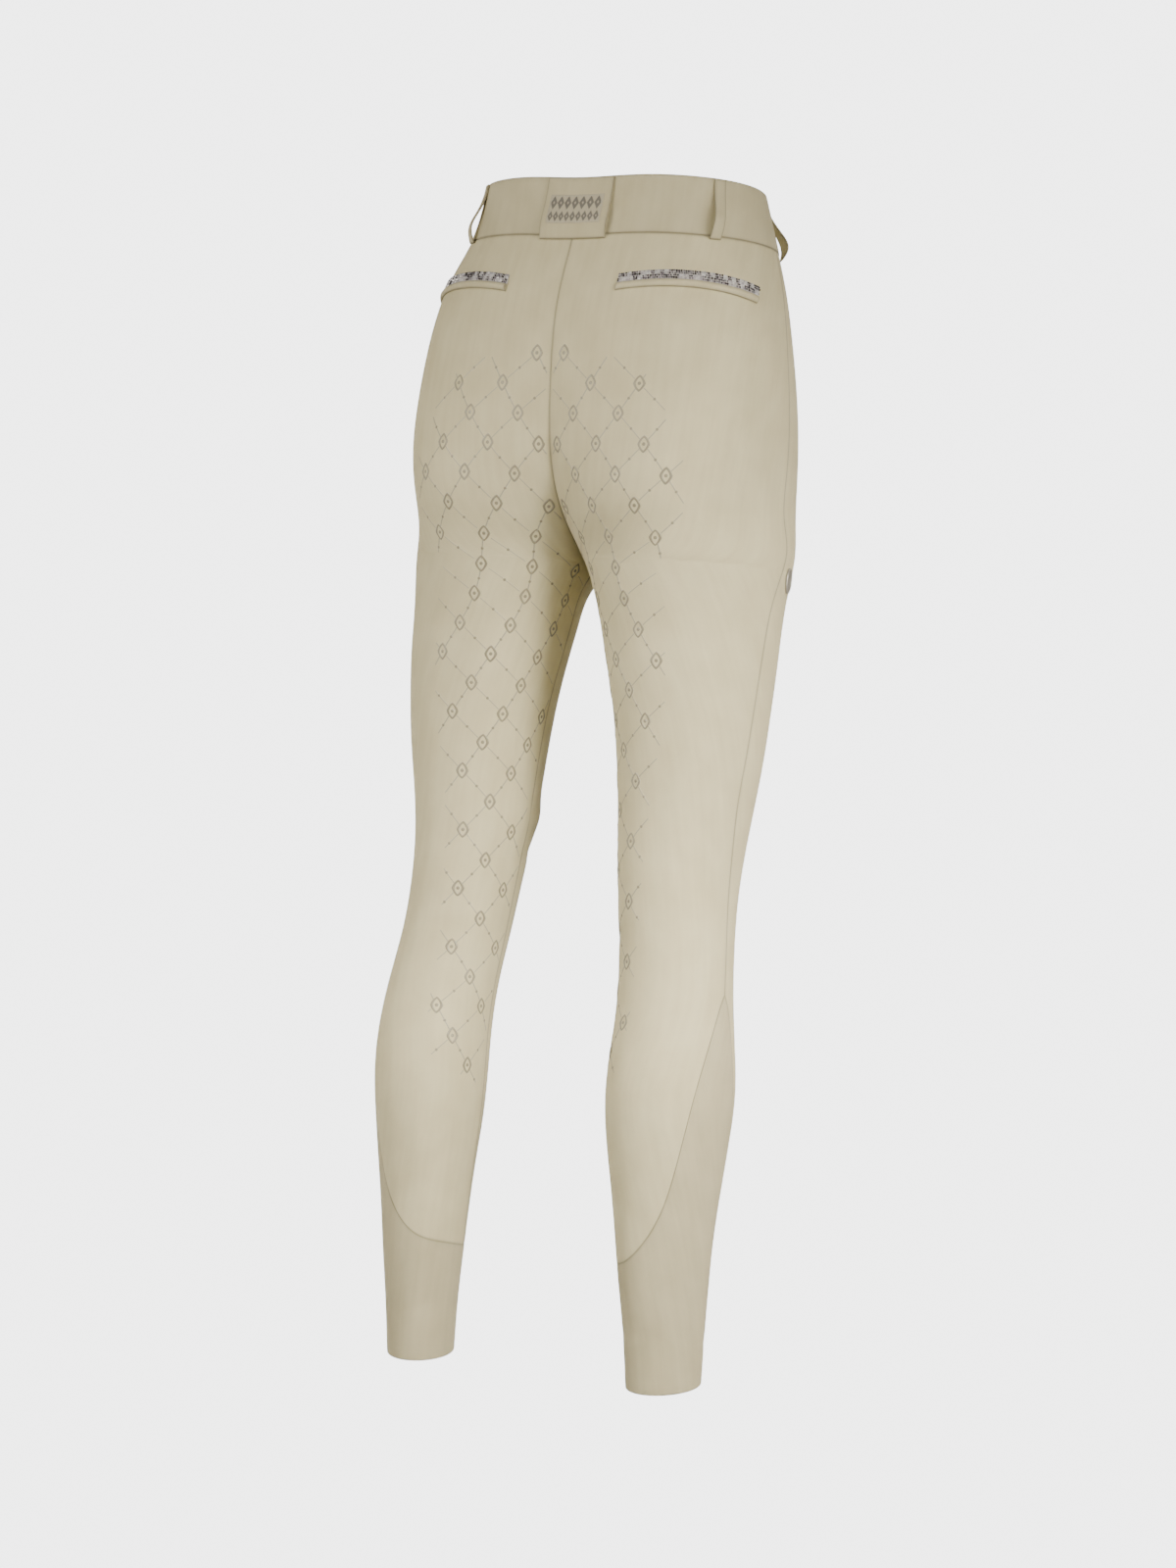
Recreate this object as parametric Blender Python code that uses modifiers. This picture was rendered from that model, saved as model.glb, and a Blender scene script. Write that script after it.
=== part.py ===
"""Riding breeches, women's EU 36, filled out as worn, in Blender 4.5. Metres, +Z up.

The origin is the middle of the waist's top edge. The front faces -Y and the wearer's left is
+X. Every cloth piece lies on one skin, lofted through the sections of SECTIONS: the rings of
the left leg and of the left half of the trunk, which the middle plane cuts. The right side
is its mirror image.
"""

import math

import bmesh
import bpy
import numpy as np
from mathutils import Matrix, Vector

# Cloth and seams: each panel draws back by half the gap, the inserts more at their steep V
CLOTH = 0.0015
BAND_CLOTH = 0.0026
SEAM_GAP = 0.0003
STEEP_SEAM_GAP = 0.00025
SEAT = 0.0003

# Heights, down from the waist's top edge
BAND_SEAM = -0.050
KNEE = -0.630
HEM = -1.007

# Waistband: the right end laps over the left one and carries the button
BAND_PROUD = 0.0006
LAP = 0.024
LAP_RISE = 0.020
BUTTON_HALVES = (0.0085, 0.0085)
BUTTON_THICK = 0.0032
STUD_TAPER = 0.86

# The skin dips a little at the middle of the back, round the waistband
DIP = 0.0036
DIP_WIDTH = 22.0
DIP_END = -0.120

# Belt loops: the distances from the middle of the back round to the narrow ones, at their top
# and bottom, and a wide one over the middle of the back with a label on it
LOOP_WIDTH = 0.0100
LOOP_CLOTH = 0.0016
LOOP_ENDS = (-0.0012, -0.0535)
LOOP_STAND = 0.0068
LOOP_PLACES = {"back": (0.1200, 0.1235), "front": (0.2330, 0.2370)}
TAB_WIDTH = 0.0620
TAB_CLOTH = 0.0018
TAB_ENDS = (-0.0010, -0.0545)
TAB_STAND = 0.0036
BOW_PEAK = 2.2
LABEL_WIDTH = 0.0500
LABEL_ENDS = (-0.0165, -0.0425)
LABEL_CLOTH = 0.0007

# Back pockets: a strip of stones over a welt, both on an arched line
POCKET_MIDDLE = 0.1145
POCKET_HALF = 0.0625
POCKET_TOP = -0.0838
POCKET_ARCH = 0.0055
POCKET_TILT = 0.0012
STONES_HEIGHT = 0.0066
STONES_CLOTH = 0.0012
WELT_HEIGHT = 0.0066
WELT_CLOTH = 0.0014
WELT_BULGE = 0.0006

# Thigh badge, on the right leg only: its half sizes across and up
BADGE_HEIGHT = -0.3284
BADGE_ANGLE = 124.0
BADGE_HALVES = (0.0075, 0.0108)
BADGE_THICK = 0.0020

# How finely the skin is read
PANEL_COLUMNS = 14
CROWDING = 1.25
EDGE_STRIP = 0.025
TRUNK_ROWS = 12
TRUNK_CLOSING = 1.7
THIGH_ROWS = 8
THIGH_OPENING = 1.25
SHIN_ROWS = 7
INSERT_ROWS = 7
BAND_ROWS = 3
BAND_COLUMNS = 64
STRAP_ROWS = 12
POCKET_COLUMNS = 18

# One section a row. Height; lean, the slope of the ring towards the back; the ring's centre,
# across and along; its half sizes to the outer side, inner side, back and front; the degrees
# that it is turned with the toes pointing out; the side seam's angle from the ring's back.
COLUMNS = "height lean across along outer inner back front turn side".split()
SECTIONS = [
    (0.000, 0.030, 0.0000, 0.0020, 0.1250, 0.1250, 0.0785, 0.1120, 0, 100),
    (-0.050, 0.022, 0.0000, 0.0000, 0.1392, 0.1392, 0.0900, 0.1175, 0, 100),
    (-0.080, 0.015, 0.0120, 0.0071, 0.1375, 0.1470, 0.0940, 0.1257, 0, 100),
    (-0.120, 0.008, 0.0280, 0.0125, 0.1300, 0.1560, 0.1010, 0.1303, 0, 100),
    (-0.160, 0.003, 0.0450, 0.0129, 0.1176, 0.1600, 0.1060, 0.1279, 0, 100),
    (-0.200, 0.000, 0.0610, 0.0113, 0.1032, 0.1600, 0.1110, 0.1218, 0, 101),
    (-0.240, 0.000, 0.0740, 0.0100, 0.0890, 0.1480, 0.1140, 0.1140, 2, 103),
    (-0.280, 0.000, 0.0840, 0.0088, 0.0776, 0.1210, 0.1100, 0.1043, 8, 108),
    (-0.305, 0.000, 0.0880, 0.0082, 0.0765, 0.1010, 0.1010, 0.0965, 14, 114),
    (-0.322, 0.000, 0.0900, 0.0102, 0.0760, 0.0900, 0.0940, 0.0920, 17, 113),
    (-0.345, 0.000, 0.0916, 0.0122, 0.0742, 0.0765, 0.0870, 0.0868, 20, 110),
    (-0.370, 0.000, 0.0940, 0.0132, 0.0714, 0.0714, 0.0810, 0.0816, 21, 107),
    (-0.400, 0.000, 0.0973, 0.0146, 0.0682, 0.0682, 0.0765, 0.0765, 20, 103),
    (-0.440, 0.000, 0.1006, 0.0152, 0.0636, 0.0636, 0.0705, 0.0705, 17, 97),
    (-0.480, 0.000, 0.1018, 0.0154, 0.0593, 0.0593, 0.0658, 0.0658, 15, 93),
    (-0.520, 0.000, 0.1012, 0.0158, 0.0544, 0.0544, 0.0620, 0.0620, 14, 92),
    (-0.560, 0.000, 0.1008, 0.0185, 0.0500, 0.0500, 0.0586, 0.0586, 14, 97),
    (-0.600, 0.000, 0.1025, 0.0230, 0.0471, 0.0471, 0.0550, 0.0550, 14, 101),
    (-0.640, 0.000, 0.1063, 0.0275, 0.0462, 0.0462, 0.0515, 0.0515, 15, 103),
    (-0.680, 0.000, 0.1112, 0.0340, 0.0468, 0.0468, 0.0505, 0.0505, 16, 102),
    (-0.720, 0.000, 0.1145, 0.0392, 0.0480, 0.0480, 0.0550, 0.0550, 17, 101),
    (-0.760, 0.000, 0.1155, 0.0410, 0.0484, 0.0484, 0.0594, 0.0594, 18, 101),
    (-0.800, 0.000, 0.1153, 0.0403, 0.0460, 0.0460, 0.0565, 0.0565, 18, 101),
    (-0.840, 0.000, 0.1157, 0.0390, 0.0418, 0.0418, 0.0502, 0.0502, 19, 101),
    (-0.880, 0.000, 0.1159, 0.0372, 0.0378, 0.0378, 0.0448, 0.0448, 19, 101),
    (-0.920, 0.000, 0.1166, 0.0345, 0.0345, 0.0345, 0.0410, 0.0410, 19, 101),
    (-0.960, -0.050, 0.1175, 0.0305, 0.0313, 0.0313, 0.0370, 0.0370, 20, 101),
    (-1.007, -0.150, 0.1180, 0.0260, 0.0288, 0.0288, 0.0340, 0.0340, 20, 101),
]
INSEAM_LOW = -88.0

# The top edge of the elastic lower-leg insert: share of the way from the inseam round the
# back to the side seam, or on from there round the front, and height
INSERT_COLUMNS = "share height".split()
INSERT_BACK = [
    (0.00, -0.912),
    (0.30, -0.906),
    (0.50, -0.897),
    (0.62, -0.880),
    (0.70, -0.860),
    (0.76, -0.832),
    (0.81, -0.790),
    (0.86, -0.745),
    (0.91, -0.712),
    (0.96, -0.688),
    (1.00, -0.677),
]
INSERT_FRONT = [
    (0.00, -0.677),
    (0.04, -0.688),
    (0.08, -0.708),
    (0.115, -0.738),
    (0.15, -0.778),
    (0.19, -0.822),
    (0.25, -0.856),
    (0.36, -0.882),
    (0.52, -0.900),
    (0.75, -0.909),
    (1.00, -0.912),
]


# The skin


def spline(table, columns, name, place):
    """A column of a table at any place, along the natural cubic spline through its rows."""
    rows = np.array(sorted(table), float)
    x = rows[:, 0]
    y = rows[:, columns.index(name)]
    step = np.diff(x)
    slope = np.diff(y) / step
    matrix = np.eye(len(x))
    right = np.zeros(len(x))
    for row in range(1, len(x) - 1):
        matrix[row, row - 1 : row + 2] = (
            step[row - 1],
            2 * (step[row - 1] + step[row]),
            step[row],
        )
        right[row] = 3 * (slope[row] - slope[row - 1])
    bend = np.linalg.solve(matrix, right)
    place = np.asarray(place, float)
    span = np.clip(np.searchsorted(x, place) - 1, 0, len(x) - 2)
    t = place - x[span]
    start = slope[span] - step[span] * (2 * bend[span] + bend[span + 1]) / 3
    cubic = (bend[span + 1] - bend[span]) / (3 * step[span])
    return y[span] + t * (start + t * (bend[span] + t * cubic))


def section(name, height):
    """A column of SECTIONS at a height."""
    return spline(SECTIONS, COLUMNS, name, height)


def skin(height, angle):
    """Points of the left side's outer skin, at heights and angles in degrees from the back.

    A section is an egg: across it sin(angle) times the outer or inner half size, along it
    cos(angle) times the back or front one, each size easing into the other; then it is
    turned about its centre, and leans. Round the waistband it dips at the back's middle.
    """
    height, angle = np.broadcast_arrays(height, np.radians(angle))
    outer, inner = section("outer", height), section("inner", height)
    back, front = section("back", height), section("front", height)
    sine, cosine = np.sin(angle), np.cos(angle)
    across = sine * ((outer + inner) + (outer - inner) * sine) / 2
    along = cosine * ((back + front) + (back - front) * cosine) / 2
    turn = np.radians(section("turn", height))
    x = across * np.cos(turn) - along * np.sin(turn)
    y = across * np.sin(turn) + along * np.cos(turn)
    fading = np.clip((height - DIP_END) / (BAND_SEAM - DIP_END), 0.0, 1.0)
    dip = DIP * fading * np.exp(-((angle / np.radians(DIP_WIDTH)) ** 2))
    return np.stack(
        [
            section("across", height) + x,
            section("along", height) + y,
            height + section("lean", height) * y - dip,
        ],
        axis=-1,
    )


def outward(height, angle):
    """The skin's unit normals, from the slopes along its angle and its height."""
    turn_step, height_step = 0.05, 0.0002
    around = skin(height, angle + turn_step) - skin(height, angle - turn_step)
    upward = skin(height + height_step, angle) - skin(height - height_step, angle)
    normal = np.cross(upward, around)
    return normal / np.linalg.norm(normal, axis=-1, keepdims=True)


def raised(height, angle, out):
    """Points moved out of the skin, square to it."""
    return skin(height, angle) + outward(height, angle) * np.asarray(out)[..., None]


def innermost(height):
    """The angle and the place across of the ring's innermost point at each height."""
    angles = np.linspace(-200.0, 20.0, 1761)
    across = skin(np.asarray(height, float)[:, None], angles)[..., 0]
    least = across.argmin(axis=1)
    return angles[least], across[np.arange(len(least)), least]


def crotch_height():
    """The height where the rings, going down, first leave the middle plane."""
    heights = np.linspace(-0.345, -0.300, 451)
    return float(np.interp(0.0, -innermost(heights)[1], heights))


CROTCH = crotch_height()
CROTCH_ANGLE = float(innermost([CROTCH])[0][0])


def inner_angles(height):
    """The angles of the centre-back and centre-front seams, or of the inseam from both sides.

    Above the crotch they are where the ring crosses the middle plane.
    """
    angles = np.linspace(-200.0, 20.0, 1761)
    back, front = [], []
    for level in np.asarray(height, float):
        if level > CROTCH:
            across = skin(level, angles)[..., 0]
            least = across.argmin()
            back.append(np.interp(0.0, across[least:], angles[least:]))
            front.append(np.interp(0.0, across[least::-1], angles[least::-1]) + 360.0)
        else:
            share = (CROTCH - level) / (CROTCH - INSERT_BACK[0][1])
            inseam = CROTCH_ANGLE + (INSEAM_LOW - CROTCH_ANGLE) * min(share, 1.0)
            back.append(inseam)
            front.append(inseam + 360.0)
    return np.array(back), np.array(front)


LEVELS = np.concatenate(
    [np.linspace(0.0, CROTCH, 241), np.linspace(CROTCH, HEM, 121)[1:]]
)
BACK_ANGLES, FRONT_ANGLES = inner_angles(LEVELS)


def back_angle(height, share):
    """The angle at a share of the way from the centre back or inseam to the side seam."""
    start = np.interp(-height, -LEVELS, BACK_ANGLES)
    return start + share * (section("side", height) - start)


def front_angle(height, share):
    """The angle at a share of the way from the side seam to the centre front or inseam."""
    side = section("side", height)
    return side + share * (np.interp(-height, -LEVELS, FRONT_ANGLES) - side)


# Meshes


def new_object(name, mesh, look):
    """An object for a mesh, smooth apart from its sharp edges."""
    material, collection = look
    mesh.materials.append(material)
    mesh.shade_smooth()
    mesh.set_sharp_from_angle(angle=math.radians(40))
    made = bpy.data.objects.new(name, mesh)
    collection.objects.link(made)
    return made


def cloth(name, grid, thickness, look, mirrored=False, ring=False):
    """A wall of cloth, inward from a grid of outer points; a ring's last column joins its first.

    The rows go down. The columns go round towards the wearer's left at the back.
    """
    grid = np.array(grid)
    if mirrored:
        grid[..., 0] *= -1
    rows, columns = grid.shape[:2]
    index = np.arange(rows * columns).reshape(rows, columns)
    if ring:
        index = np.concatenate([index, index[:, :1]], axis=1)
    corners = [index[:-1, 1:], index[1:, 1:], index[1:, :-1], index[:-1, :-1]]
    if mirrored:
        corners.reverse()
    faces = np.stack(corners, axis=-1).reshape(-1, 4)
    mesh = bpy.data.meshes.new(name)
    mesh.from_pydata(grid.reshape(-1, 3).tolist(), [], faces.tolist())
    made = new_object(name, mesh, look)
    wall = made.modifiers.new("Wall", "SOLIDIFY")
    wall.thickness = thickness
    wall.offset = -1.0


def stud(name, centre, facing, halves, thickness, look):
    """An oval plate with a tapering edge, its back on a centre and its face turned outward."""
    mesh = bpy.data.meshes.new(name)
    body = bmesh.new()
    bmesh.ops.create_cone(
        body,
        cap_ends=True,
        segments=28,
        radius1=1.0,
        radius2=STUD_TAPER,
        depth=thickness,
        matrix=Matrix.Translation((0, 0, thickness / 2)),
    )
    body.to_mesh(mesh)
    body.free()
    mesh.transform(Matrix.Diagonal((*halves, 1.0, 1.0)))
    mesh.transform(Vector(facing).to_track_quat("Z", "Y").to_matrix().to_4x4())
    mesh.transform(Matrix.Translation(Vector(centre)))
    new_object(name, mesh, look)


# Leg panels and inserts


def drawn_in(points, normals, amount):
    """A closed line of edge points moved sideways in the cloth, with mitred corners.

    Each point goes along the cross product of the edge's way and the normal.
    """
    ways = (points - np.roll(points, 1, axis=0), np.roll(points, -1, axis=0) - points)
    sides = []
    for way in ways:
        sideways = np.cross(way, normals)
        sides.append(sideways / np.linalg.norm(sideways, axis=-1, keepdims=True))
    spread = 1 + (sides[0] * sides[1]).sum(axis=-1, keepdims=True)
    return points + amount * (sides[0] + sides[1]) / np.maximum(spread, 0.35)


def trimmed(grid, normals):
    """A panel's grid with its whole edge drawn in by half the seam gap."""
    rows, columns = grid.shape[:2]
    index = np.arange(rows * columns).reshape(rows, columns)
    edge = np.concatenate(
        [index[:, 0], index[-1, 1:], index[-2::-1, -1], index[0, -2:0:-1]]
    )
    flat = grid.reshape(-1, 3).copy()
    flat[edge] = drawn_in(flat[edge], normals.reshape(-1, 3)[edge], SEAM_GAP / 2)
    return flat.reshape(grid.shape)


def shares(from_side):
    """Columns' shares of a panel's width, crowded to the side seam, narrow at both edges."""
    even = np.linspace(0.0, 1.0, PANEL_COLUMNS + 1)
    crowded = 1 - (1 - even) ** CROWDING
    share = np.concatenate(
        [[0.0, EDGE_STRIP / 2], crowded[1:-1], [1 - EDGE_STRIP / 4, 1.0]]
    )
    return 1 - share[::-1] if from_side else share


def insert_top(table, share):
    """The height of the insert's top edge at shares of a panel's width."""
    return spline(table, INSERT_COLUMNS, "height", share)


def panel_heights(table, share):
    """Heights of a panel's points: level rows to the knee, then fanned to the insert's edge.

    Down the trunk the rows close up towards the crotch, where the seam runs level, and they
    open out again down the thigh.
    """
    closing = np.insert(np.linspace(0.0, 1.0, TRUNK_ROWS + 1), 1, EDGE_STRIP)
    trunk = BAND_SEAM + (CROTCH - BAND_SEAM) * (1 - (1 - closing) ** TRUNK_CLOSING)
    opening = np.linspace(0.0, 1.0, THIGH_ROWS + 1)[1:]
    thigh = CROTCH + (KNEE - CROTCH) * opening**THIGH_OPENING
    level = np.concatenate([trunk, thigh])
    fan = np.insert(np.linspace(0.0, 1.0, SHIN_ROWS + 1)[1:], -1, 1 - EDGE_STRIP)
    shin = KNEE + fan[:, None] * (insert_top(table, share) - KNEE)
    return np.concatenate([np.repeat(level[:, None], len(share), axis=1), shin])


def leg_panel(name, table, angle_at, share, look, mirrored):
    """A back or front panel, from the waistband's seam to the insert."""
    height = panel_heights(table, share)
    angle = angle_at(height, share)
    grid = trimmed(skin(height, angle), outward(height, angle))
    cloth(name, grid, CLOTH, look, mirrored)


def insert(name, look, mirrored):
    """The elastic insert with its cuff: a V up the side, and a whole ring at the ankle."""
    back, front = shares(False), shares(True)
    top = np.concatenate(
        [insert_top(INSERT_BACK, back), insert_top(INSERT_FRONT, front[1:-1])]
    )
    down = np.insert(np.linspace(0.0, 1.0, INSERT_ROWS + 1), 1, EDGE_STRIP)[:, None]
    height = top + down * (HEM - top)
    angle = np.concatenate(
        [
            back_angle(height[:, : len(back)], back),
            front_angle(height[:, len(back) :], front[1:-1]),
        ],
        axis=1,
    )
    grid = skin(height, angle)
    grid[0] = drawn_in(grid[0], outward(height[0], angle[0]), -STEEP_SEAM_GAP)
    cloth(name, grid, CLOTH, look, mirrored, ring=True)


def legs(panel_look, insert_look):
    """Both legs' panels and inserts."""
    for side, mirrored in (("left", False), ("right", True)):
        back, front = shares(False), shares(True)
        leg_panel(f"back_{side}", INSERT_BACK, back_angle, back, panel_look, mirrored)
        leg_panel(f"front_{side}", INSERT_FRONT, front_angle, front, panel_look, mirrored)
        insert(f"insert_{side}", insert_look, mirrored)


# What lies on the skin is placed by its distance round the ring from the middle of the back


def half_round(height):
    """The distance from the middle of the back round to the middle of the front."""
    angles = np.linspace(0.0, 180.0, 361)
    return float(np.linalg.norm(np.diff(skin(height, angles), axis=0), axis=1).sum())


def around(height, distance):
    """Angles of the left side's skin at distances round it from the middle of the back."""
    height, distance = np.broadcast_arrays(height, distance)
    steps = np.linspace(0.0, 1.0, 361)
    found = []
    for level, way in zip(height.ravel(), distance.ravel()):
        start = np.interp(-level, -LEVELS, BACK_ANGLES)
        angles = start + steps * (180.0 - start)
        run = np.linalg.norm(np.diff(skin(level, angles), axis=0), axis=1)
        found.append(np.interp(way, np.concatenate([[0.0], np.cumsum(run)]), angles))
    return np.array(found).reshape(height.shape)


def both_sides(height, distance, out):
    """Points at signed distances round the back: the wearer's left is positive."""
    angle = around(height, np.abs(distance))
    points = raised(np.broadcast_to(height, angle.shape), angle, out)
    points[..., 0] *= np.where(np.asarray(distance) < 0, -1.0, 1.0)
    return points


def waistband(look):
    """The band, all round from its right end, which lies over the left one, to that end."""
    down = np.insert(np.linspace(0.0, 1.0, BAND_ROWS + 1), -1, 1 - EDGE_STRIP)
    rows = []
    for height in down * (BAND_SEAM + SEAM_GAP / 2):
        half = half_round(height)
        over = -half - LAP + np.linspace(0.0, LAP, 3, endpoint=False)
        distance = np.concatenate([over, np.linspace(-half, half, BAND_COLUMNS + 1)])
        rise = np.clip((LAP_RISE - half - distance) / LAP_RISE, 0.0, 1.0)
        out = BAND_PROUD + (BAND_CLOTH + SEAT) * rise * rise * (3 - 2 * rise)
        folded = np.where(distance < -half, 2 * half + distance, distance)
        rows.append(both_sides(height, folded, out))
    cloth("waistband", np.array(rows), BAND_CLOTH, look)


def bow(height, ends, stand):
    """How far a strap stands off between its ends: stand times sin(pi s^peak), s down it."""
    down = (height - ends[0]) / (ends[1] - ends[0])
    return stand * np.sin(math.pi * np.clip(down, 0.0, 1.0) ** BOW_PEAK)


def strap(name, middles, width, ends, stand, thickness, columns, look):
    """A strap over the band, from its top edge to below its seam, bowed off it in between."""
    across = np.linspace(-width / 2, width / 2, columns + 1)
    rows = []
    for down in np.linspace(0.0, 1.0, STRAP_ROWS + 1):
        height = ends[0] + down * (ends[1] - ends[0])
        middle = middles[0] + down * (middles[1] - middles[0])
        out = BAND_PROUD + SEAT + thickness + bow(height, ends, stand)
        rows.append(both_sides(height, middle + across, np.full(columns + 1, out)))
    cloth(name, np.array(rows), thickness, look)


def belt_loops(look):
    """Four narrow loops, a back one and a front one on each side."""
    for side, sign in (("left", 1), ("right", -1)):
        for place, distances in LOOP_PLACES.items():
            middles = [sign * distance for distance in distances]
            name = f"belt_loop_{place}_{side}"
            strap(name, middles, LOOP_WIDTH, LOOP_ENDS, LOOP_STAND, LOOP_CLOTH, 2, look)


def back_tab(look):
    """The wide loop over the middle of the back."""
    strap("back_tab", (0, 0), TAB_WIDTH, TAB_ENDS, TAB_STAND, TAB_CLOTH, 8, look)


def back_label(look):
    """The patch on the tab."""
    across = np.linspace(-LABEL_WIDTH / 2, LABEL_WIDTH / 2, 9)
    rows = []
    for height in np.linspace(*LABEL_ENDS, 7):
        tab_face = BAND_PROUD + SEAT + TAB_CLOTH + bow(height, TAB_ENDS, TAB_STAND)
        out = np.full(len(across), tab_face + SEAT + LABEL_CLOTH)
        rows.append(both_sides(height, across, out))
    cloth("back_label", np.array(rows), LABEL_CLOTH, look)


def pocket_strip(name, below, width, thickness, bulge, look, mirrored):
    """A strip along the pocket's arched line, from a drop below it, bulged in its middle."""
    along = np.linspace(-1.0, 1.0, POCKET_COLUMNS + 1)
    line = POCKET_TOP - POCKET_ARCH * along**2 - POCKET_TILT * along
    down = np.array([0.0, 0.5, 1.0])[:, None]
    height = line - below - down * width
    distance = POCKET_MIDDLE + POCKET_HALF * along
    out = SEAT + thickness + bulge * np.sin(math.pi * down)
    angle = around(height, distance)
    grid = raised(height, angle, np.broadcast_to(out, height.shape))
    cloth(name, grid, thickness, look, mirrored)


def pockets(welt_look, stones_look):
    """Each back pocket's strip of stones, with the welt below it."""
    below = STONES_HEIGHT + SEAM_GAP
    for side, mirrored in (("left", False), ("right", True)):
        name = f"pocket_stones_{side}"
        pocket_strip(name, 0.0, STONES_HEIGHT, STONES_CLOTH, 0.0, stones_look, mirrored)
        name = f"pocket_welt_{side}"
        pocket_strip(name, below, WELT_HEIGHT, WELT_CLOTH, WELT_BULGE, welt_look, mirrored)


def front_button(look):
    """The button, on the lap at the middle of the front."""
    height = np.array(BAND_SEAM / 2)
    angle = np.array(180.0)
    out = BAND_PROUD + BAND_CLOTH + 2 * SEAT
    centre = raised(height, angle, out)
    stud("front_button", centre, outward(height, angle), BUTTON_HALVES, BUTTON_THICK, look)


def thigh_badge(look):
    """The oval plate on the front of the right thigh, outside."""
    height = np.array(BADGE_HEIGHT)
    angle = np.array(BADGE_ANGLE)
    to_right = np.array([-1.0, 1.0, 1.0])
    centre = raised(height, angle, SEAT) * to_right
    facing = outward(height, angle) * to_right
    stud("thigh_badge", centre, facing, BADGE_HALVES, BADGE_THICK, look)


# Materials and the whole


def finish(name, colour, roughness, metallic=0.0):
    """A material with an sRGB colour, given as hex."""
    parts = [int(colour[at : at + 2], 16) / 255 for at in (0, 2, 4)]
    linear = [
        part / 12.92 if part < 0.04045 else ((part + 0.055) / 1.055) ** 2.4
        for part in parts
    ]
    made = bpy.data.materials.new(name)
    made.use_nodes = True
    shader = made.node_tree.nodes["Principled BSDF"]
    shader.inputs["Base Color"].default_value = (*linear, 1.0)
    shader.inputs["Roughness"].default_value = roughness
    shader.inputs["Metallic"].default_value = metallic
    made.diffuse_color = (*linear, 1.0)
    return made


def build():
    """Every piece, in a collection named for the breeches."""
    for old in list(bpy.data.objects):
        bpy.data.objects.remove(old, do_unlink=True)
    collection = bpy.data.collections.new("riding_breeches")
    bpy.context.scene.collection.children.link(collection)
    panel_look = (finish("stretch_cloth", "CFC7B2", 0.85), collection)
    insert_look = (finish("elastic_cloth", "C3BAA4", 0.80), collection)
    trim_look = (finish("band_cloth", "C4BBA5", 0.85), collection)
    label_look = (finish("label_weave", "B4AC98", 0.70), collection)
    stones_look = (finish("stones", "A9A8AE", 0.25, 0.6), collection)
    badge_look = (finish("badge_metal", "6C6964", 0.30, 1.0), collection)
    button_look = (finish("button_resin", "B9B09B", 0.35), collection)
    legs(panel_look, insert_look)
    waistband(trim_look)
    belt_loops(trim_look)
    back_tab(trim_look)
    back_label(label_look)
    pockets(trim_look, stones_look)
    front_button(button_look)
    thigh_badge(badge_look)


build()
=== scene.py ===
"""Riding breeches, women's EU 36, filled out as worn: cloth, sewing and trimmings.

Metres, +Z up. The front faces -Y and the wearer's left is +X. Every cloth piece is a thin shell
on one skin, lofted through the rings of the left leg and the left half of the trunk; the right
side is its mirror image. A place on the skin is a height below the waist's top edge and either
an angle from the ring's back or a distance round it: from the middle of the back above the
crotch, and from the inseam below it.
"""

import math

import bpy
import numpy as np
from mathutils import Euler, Matrix, Vector


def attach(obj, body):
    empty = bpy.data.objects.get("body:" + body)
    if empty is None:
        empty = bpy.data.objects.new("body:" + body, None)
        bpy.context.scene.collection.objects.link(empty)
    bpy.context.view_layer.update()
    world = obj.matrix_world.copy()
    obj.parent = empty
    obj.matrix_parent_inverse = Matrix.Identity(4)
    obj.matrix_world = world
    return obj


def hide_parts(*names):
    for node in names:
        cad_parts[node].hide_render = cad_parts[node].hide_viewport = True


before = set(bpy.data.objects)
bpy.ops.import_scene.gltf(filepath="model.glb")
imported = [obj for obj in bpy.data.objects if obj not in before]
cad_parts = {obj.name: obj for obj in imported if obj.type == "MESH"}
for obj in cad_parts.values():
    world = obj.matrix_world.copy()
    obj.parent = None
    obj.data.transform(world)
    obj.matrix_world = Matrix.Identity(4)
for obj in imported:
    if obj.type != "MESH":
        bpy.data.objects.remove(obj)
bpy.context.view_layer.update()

# Cloth and seams. Sewn neighbours overlap by a hair, so that no light shows between them, and
# a piece that lies on another is seated a little above it.
CLOTH = 0.0015
BAND_CLOTH = 0.0026
SEAM_GAP = -0.00008
SEAT = 0.0003
SEAM_SINK = 0.00018
SEAM_SINK_REACH = 0.0022
EDGE_EASE = 0.004
RIM_STEPS = 3
RIM_ROUND = 0.5
MITRE_REACH = 0.003
MITRE_LIMIT = 0.35

# Heights, down from the waist's top edge
BAND_SEAM = -0.050
KNEE = -0.630
HEM = -1.007

# Waistband, its lap and its button
BAND_PROUD = 0.0006
LAP = 0.024
LAP_RISE = 0.020
BUTTON_RADIUS = 0.0085

# The skin dips a little at the middle of the back, round the waistband
DIP = 0.0036
DIP_WIDTH = 22.0
DIP_END = -0.120

# Belt loops, the wide tab and its label: distances are from the middle of the back
LOOP_WIDTH = 0.0100
LOOP_CLOTH = 0.0016
LOOP_ENDS = (-0.0012, -0.0535)
LOOP_STAND = 0.0068
LOOP_PLACES = {"back": (0.1200, 0.1235), "front": (0.2330, 0.2370)}
LOOP_TWISTS = {
    "back_left": -0.0006,
    "back_right": 0.0026,
    "front_left": 0.0010,
    "front_right": 0.0021,
}
TAB_WIDTH = 0.0620
TAB_CLOTH = 0.0018
TAB_ENDS = (-0.0010, -0.0545)
TAB_STAND = 0.0036
BOW_PEAK = 2.2
LABEL_WIDTH = 0.0500
LABEL_ENDS = (-0.0165, -0.0425)
LABEL_CLOTH = 0.0007

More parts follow.
